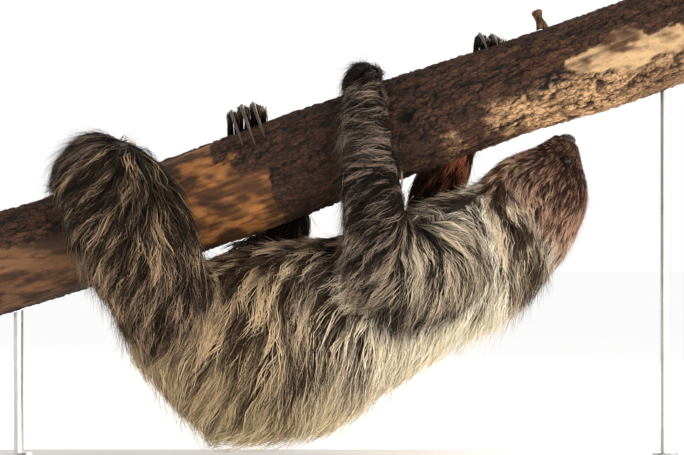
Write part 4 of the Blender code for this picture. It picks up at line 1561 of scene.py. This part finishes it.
    def close(self, points: np.ndarray, colour: np.ndarray, bare: np.ndarray,
              base: np.ndarray, group: bpy.types.NodeTree) -> bpy.types.Object:
        """Close the tube with sawn ends: rings of points that shrink to the middle.

        Args:
            points: The tube's grid.
            colour: Its colours.
            bare: Where the bark has come off.
            base: Places on the axis.
            group: The shared mottling group.

        Returns:
            The finished branch.
        """
        shrink = np.append(0.985, np.linspace(0.96, 0.04, self.end_rings))
        grids, colours = [], []
        for row, middle in ((0, base[0]), (-1, base[-1])):
            edge = points[row]
            disc = middle + (edge - middle) * shrink[:, None, None]
            far = np.linalg.norm(disc - middle, axis=-1)
            turned = far + 0.006 * (cloud(disc / 0.030, 87, 2) - 0.5)
            ring = 0.5 + 0.5 * np.sin(turned / self.ring_step * FULL_TURN)
            tint = mix(paint(112, 80, 54), paint(168, 130, 92), ring[..., None])
            crack = cloud(np.stack([np.arctan2(disc[..., 1], disc[..., 2] - middle[2]) * 5.0,
                                    far * 30.0, 0.0 * far], -1), 89, 2)
            tint = mix(tint, tint * 0.45, ease(0.62, 0.72, crack)[..., None])
            tint = mix(tint, paint(40, 26, 20), ease(0.90, 0.99, far / far.max())[..., None])
            grids.append(disc if row else disc[::-1])
            colours.append(tint if row else tint[::-1])
        grid = np.concatenate([grids[0], points, grids[1]])
        tint = np.concatenate([colours[0], colour, colours[1]])
        rows, columns = grid.shape[:2]
        number = np.arange(rows * columns).reshape(rows, columns)
        ahead = np.roll(number, -1, axis=1)
        quads = np.stack([number[:-1], ahead[:-1], ahead[1:], number[1:]], -1).reshape(-1, 4)
        triangles = np.concatenate([quads[:, [0, 1, 2]], quads[:, [0, 2, 3]]])
        first, last = rows * columns, rows * columns + 1
        cap_a = np.stack([ahead[0], number[0], np.full(columns, first)], -1)
        cap_b = np.stack([number[-1], ahead[-1], np.full(columns, last)], -1)
        triangles = np.concatenate([triangles, cap_a, cap_b])
        places = np.concatenate([grid.reshape(-1, 3), base[:1], base[-1:]])
        tints = np.concatenate([tint.reshape(-1, 3), np.tile(paint(90, 60, 40), (2, 1))])
        if np.sum(corner_normals(places, triangles)[: first] * (
                places[:first] - base.mean(axis=0))) < 0.0:
            triangles = triangles[:, ::-1]
        thing = make_object("branch", places, triangles)
        write_colour(thing, "Wood", tints)
        smooth = np.ones((rows, columns))
        smooth[self.end_rings + 1:-self.end_rings - 1] = bare
        write_value(thing, "Bare", np.append(smooth.ravel(), (1.0, 1.0)))
        thing.data.materials.append(BARK_FINISH.material(group))
        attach(thing, "root")
        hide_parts("perch")
        LOG.info("branch: %d triangles", len(triangles))
        return thing

    def twig(self, group: bpy.types.NodeTree) -> None:
        """Make the broken twig: the CAD twig wrapped finely, with ridges.

        Args:
            group: The shared mottling group.
        """
        points, faces = read_mesh(remeshed("twig", *merged_node("perch_twig"), 0.0011))
        points = relax(points, faces, 3)
        normal = corner_normals(points, faces)
        rough = cloud(points / np.array([0.0035, 0.0035, 0.009]), 81, 3)
        points = points + normal * ((rough - 0.62) * 0.0030)[:, None]
        thing = make_object("twig stub", points, faces)
        tone = mix(paint(34, 22, 16), paint(112, 78, 52), ease(0.35, 0.7, rough)[:, None])
        write_colour(thing, "Wood", tone)
        write_value(thing, "Bare", ease(0.0, 1.0, rough))
        thing.data.materials.append(BARK_FINISH.material(group))
        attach(thing, "root")
        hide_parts("perch_twig")
        LOG.info("twig: %d triangles", len(faces))


# ------------------------------------------------------------------ claws, eyes and nose


@dataclass
class BareParts:
    """Claws, eyes and nose: smooth pieces that lie free of the coat."""

    lid_radius: float = 0.0062
    lid_thickness: float = 0.0010
    lid_set: float = 0.0026
    lid_height: float = 0.82
    lid_sides: tuple[int, int] = (28, 10)
    nose_size: tuple[float, float, float] = (0.0075, 0.0115, 0.0105)
    nose_set: float = 0.0035
    nose_grid: tuple[int, int] = (40, 56)

    def place(self, thing: bpy.types.Object, node: str, slot: str,
              material: bpy.types.Material) -> None:
        """Dress a piece, and let it stand for a CAD node where one is named."""
        thing.data.materials.append(material)
        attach(thing, "root")
        if node:
            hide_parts(node)

    def smooth_copy(self, node: str, name: str, cell: float, rounds: int) -> bpy.types.Object:
        """Wrap a CAD node in a fine even mesh and smooth it.

        Args:
            node: The node.
            name: Name of the piece.
            cell: Size of a cell.
            rounds: Rounds of smoothing.

        Returns:
            The piece.
        """
        points, faces = read_mesh(remeshed(name, *merged_node(node), cell))
        return make_object(name, relax(points, faces, rounds), faces)

    def claws(self, group: bpy.types.NodeTree) -> None:
        """Make each claw, darker at the root and paler at the tip.

        The share along a claw is the distance from its paw's middle, from 0 to 1.
        """
        horn = HORN_FINISH.material(group)
        for node in sorted(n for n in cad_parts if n.startswith("claw_")):
            thing = self.smooth_copy(node, node.replace("_", " "), 0.0011, 3)
            points, _ = read_mesh(thing.data)
            paw = node.removeprefix("claw_").rsplit("_", 1)[0]
            far = np.linalg.norm(points - merged_node(paw)[0].mean(axis=0), axis=1)
            write_value(thing, "Along", ease(0.1, 1.0, (far - far.min()) / np.ptp(far)))
            self.place(thing, node, "claw_horn", horn)
        LOG.info("claws made")

    def eyes(self, group: bpy.types.NodeTree) -> None:
        """Make both eyes with pupil and iris, and the lids: a ring bent round each eye."""
        wet, lid = EYE_FINISH.material(group), LID_FINISH.material(group)
        for side, sign in (("left", -1.0), ("right", 1.0)):
            node = f"eye_{side}"
            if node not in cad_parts:
                continue
            thing = self.smooth_copy(node, f"eye {side}", 0.0006, 2)
            points, _ = read_mesh(thing.data)
            middle = points.mean(axis=0)
            out = unit(np.array([0.35, sign, 0.15]))
            facing = unit(points - middle) @ out
            iris = ease(0.72, 0.80, facing) * (1.0 - ease(0.93, 0.95, facing))
            write_value(thing, "Iris", iris)
            self.place(thing, node, "eye", wet)
            self.place(self.eyelid(side, middle, out), "", "face_coat", lid)
        LOG.info("eyes made")

    def eyelid(self, side: str, middle: np.ndarray, out: np.ndarray) -> bpy.types.Object:
        """Make a lid: a thin ring round the eye, a little lower than it is wide.

        Args:
            side: Which eye.
            middle: The eye's middle.
            out: The way it looks.

        Returns:
            The lid.
        """
        u, v = np.meshgrid(*(np.arange(k) / k * FULL_TURN for k in self.lid_sides),
                           indexing="ij")
        right = unit(np.cross(out, UP))
        over = np.cross(right, out)
        ring = self.lid_radius + self.lid_thickness * np.cos(v)
        places = (middle + out * self.lid_set
                  + right * (ring * np.cos(u))[..., None]
                  + over * (ring * self.lid_height * np.sin(u))[..., None]
                  + out * (self.lid_thickness * np.sin(v))[..., None])
        number = np.arange(u.size).reshape(u.shape)
        a, b = np.roll(number, -1, 0), np.roll(number, -1, 1)
        quads = np.stack([number, a, np.roll(a, -1, 1), b], -1).reshape(-1, 4)
        flat = places.reshape(-1, 3)
        test = np.cross(flat[quads[0, 1]] - flat[quads[0, 0]],
                        flat[quads[0, 3]] - flat[quads[0, 0]])
        hub = middle + out * self.lid_set + right * self.lid_radius
        if test @ (flat[quads[0, 0]] - hub) < 0.0:
            quads = quads[:, ::-1]
        return make_object(f"eyelid {side}", flat, quads)

    def nose(self, group: bpy.types.NodeTree) -> None:
        """Make the nose: a rounded pad with two nostrils.

        The pad is a ball flattened along the muzzle, its sides squared by taking the sine
        and cosine round it to the power 0.8. The nostrils are dents that fade as a bell curve.
        """
        tip = np.mean(merged_node("nose")[0], axis=0)
        ahead = unit(tip - np.mean(merged_node("muzzle")[0], axis=0))
        wide = np.array([0.0, 1.0, 0.0])
        over = np.cross(ahead, wide)
        rows, columns = self.nose_grid
        u = np.linspace(0.0, math.pi, rows)[:, None]
        v = np.arange(columns) / columns * FULL_TURN
        round_part = np.sin(u)
        own = np.stack([-np.cos(u) + 0.0 * v, round_part * squared(np.cos(v)),
                        round_part * squared(np.sin(v))], -1)
        length, half, tall = self.nose_size
        points = (tip - ahead * self.nose_set + own[..., :1] * ahead * length
                  + own[..., 1:2] * wide * half + own[..., 2:] * over * tall)
        for sign in (-1.0, 1.0):
            spot = (tip - ahead * self.nose_set + ahead * length * 0.86
                    + wide * sign * half * 0.46 - over * tall * 0.10)
            away = np.sum(((points - spot) / 0.0024) ** 2, axis=-1)
            points = points - ahead * (0.0032 * np.exp(-away))[..., None]
        wrinkle = cloud(points / 0.0016, 91, 2) - 0.5
        points = points + own * (wrinkle * 0.0006)[..., None]
        number = np.arange(rows * columns).reshape(rows, columns)
        next_one = np.roll(number, -1, axis=1)
        quads = np.stack([number[:-1], next_one[:-1], next_one[1:], number[1:]], -1)
        triangles = quads.reshape(-1, 4)[:, [0, 1, 2, 0, 2, 3]].reshape(-1, 3)
        flat = points.reshape(-1, 3)
        flat[:columns], flat[-columns:] = points[0].mean(axis=0), points[-1].mean(axis=0)
        _, first, same = np.unique(np.round(flat, 7), axis=0, return_index=True,
                                   return_inverse=True)
        triangles = same.reshape(-1)[triangles]
        whole = (triangles[:, 0] != triangles[:, 1]) & (triangles[:, 1] != triangles[:, 2])
        triangles = triangles[whole & (triangles[:, 2] != triangles[:, 0])]
        flat = flat[first]
        if np.sum(corner_normals(flat, triangles) * (flat - flat.mean(axis=0))) < 0.0:
            triangles = triangles[:, ::-1]
        self.place(make_object("nose pad", flat, triangles), "nose", "bare_skin",
                   NOSE_FINISH.material(group))
        LOG.info("nose made")


@dataclass
class Stand:
    """The display stand: its CAD nodes with metal and paint finishes."""

    def dress(self, group: bpy.types.NodeTree) -> None:
        """Give the board, rods and collars their materials."""
        steel, board = STEEL_FINISH.material(group), BOARD_FINISH.material(group)
        for name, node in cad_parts.items():
            if not name.startswith("stand_"):
                continue
            material = board if name == "stand_base" else steel
            if node.material_slots:
                for slot in node.material_slots:
                    slot.material = material
            else:
                node.data.materials.append(material)
        LOG.info("stand dressed")


@dataclass(frozen=True)
class Lamp:
    """A square soft lamp: its place, side, power and colour."""

    name: str
    place: tuple[float, float, float]
    size: float
    power: float
    colour: tuple[float, float, float]

    def hang(self, target: tuple[float, float, float]) -> None:
        """Add the lamp, turned to the target."""
        light = bpy.data.lights.new(self.name, "AREA")
        light.size = self.size
        light.energy = self.power
        light.color = self.colour
        lamp = bpy.data.objects.new(self.name, light)
        lamp.location = self.place
        lamp.visible_camera = False
        way = np.array(target) - np.array(self.place)
        lamp.rotation_euler = Vector(way.tolist()).to_track_quat("-Z", "Y").to_euler()
        bpy.context.scene.collection.objects.link(lamp)


LAMPS = (
    Lamp("key from the front right", (1.3, -2.2, 0.45), 1.2, 34.0, (1.0, 0.96, 0.90)),
    Lamp("low light under the back", (-0.1, -1.3, 0.10), 0.5, 9.0, (1.0, 0.90, 0.74)),
    Lamp("warm low light from the right", (2.2, -0.4, 0.25), 0.9, 34.0, (1.0, 0.82, 0.6)),
    Lamp("rim light from behind", (0.8, 2.2, 1.2), 1.2, 30.0, (1.0, 0.9, 0.78)),
)


@dataclass
class Studio:
    """Pale floor, soft lights and the camera.

    The lens takes in the view's width at the camera's distance.
    """

    floor_half: float = 14.0
    middle: tuple[float, float, float] = (0.0, 0.0, 0.28)
    view_width: float = 0.8208
    camera_distance: float = 3.0
    camera_height: float = 0.300
    sensor: float = 36.0

    def build(self, group: bpy.types.NodeTree) -> None:
        """Set up the floor, the sky, the lamps and the camera."""
        half = self.floor_half
        corners = np.array([[-half, -half, 0.0], [half, -half, 0.0], [half, half, 0.0],
                            [-half, half, 0.0]])
        floor = make_object("floor", corners, np.array([[0, 1, 2, 3]]))
        floor.data.materials.append(FLOOR_FINISH.material(group))
        scene = bpy.context.scene
        scene.view_settings.view_transform = "Standard"
        world = bpy.data.worlds.new("studio light")
        world.use_nodes = True
        world.node_tree.nodes["Background"].inputs[0].default_value = (1.0, 1.0, 1.0, 1.0)
        world.node_tree.nodes["Background"].inputs[1].default_value = 1.0
        scene.world = world
        for lamp in LAMPS:
            lamp.hang(self.middle)
        data = bpy.data.cameras.new("camera")
        data.sensor_width = self.sensor
        data.lens = self.sensor * self.camera_distance / self.view_width
        camera = bpy.data.objects.new("camera", data)
        camera.location = (0.0, -self.camera_distance, self.camera_height)
        camera.rotation_euler = (math.pi / 2.0, 0.0, 0.0)
        scene.collection.objects.link(camera)
        scene.camera = camera


def main() -> None:
    """Build every piece in order and report it."""
    logging.basicConfig(level=logging.INFO, format="%(message)s")
    group = mottle_group()
    Studio().build(group)
    body = BodyMap()
    skin = Skin(body)
    skin.build(group)
    coat = Coat(body, skin)
    combed = COAT_FINISH.material(group)
    for locks in COATS:
        coat.build(locks, combed)
    for paw, count in (("foot_right", 3), ("hand_right", 2)):
        coat.toes(paw, tuple(f"claw_{paw}_{k + 1}" for k in range(count)), combed)
    LOG.info("coat: %d triangles in all", coat.made)
    branch = Branch()
    branch.build(group)
    branch.twig(group)
    parts = BareParts()
    parts.claws(group)
    parts.eyes(group)
    parts.nose(group)
    Stand().dress(group)


if __name__ == "__main__":
    main()
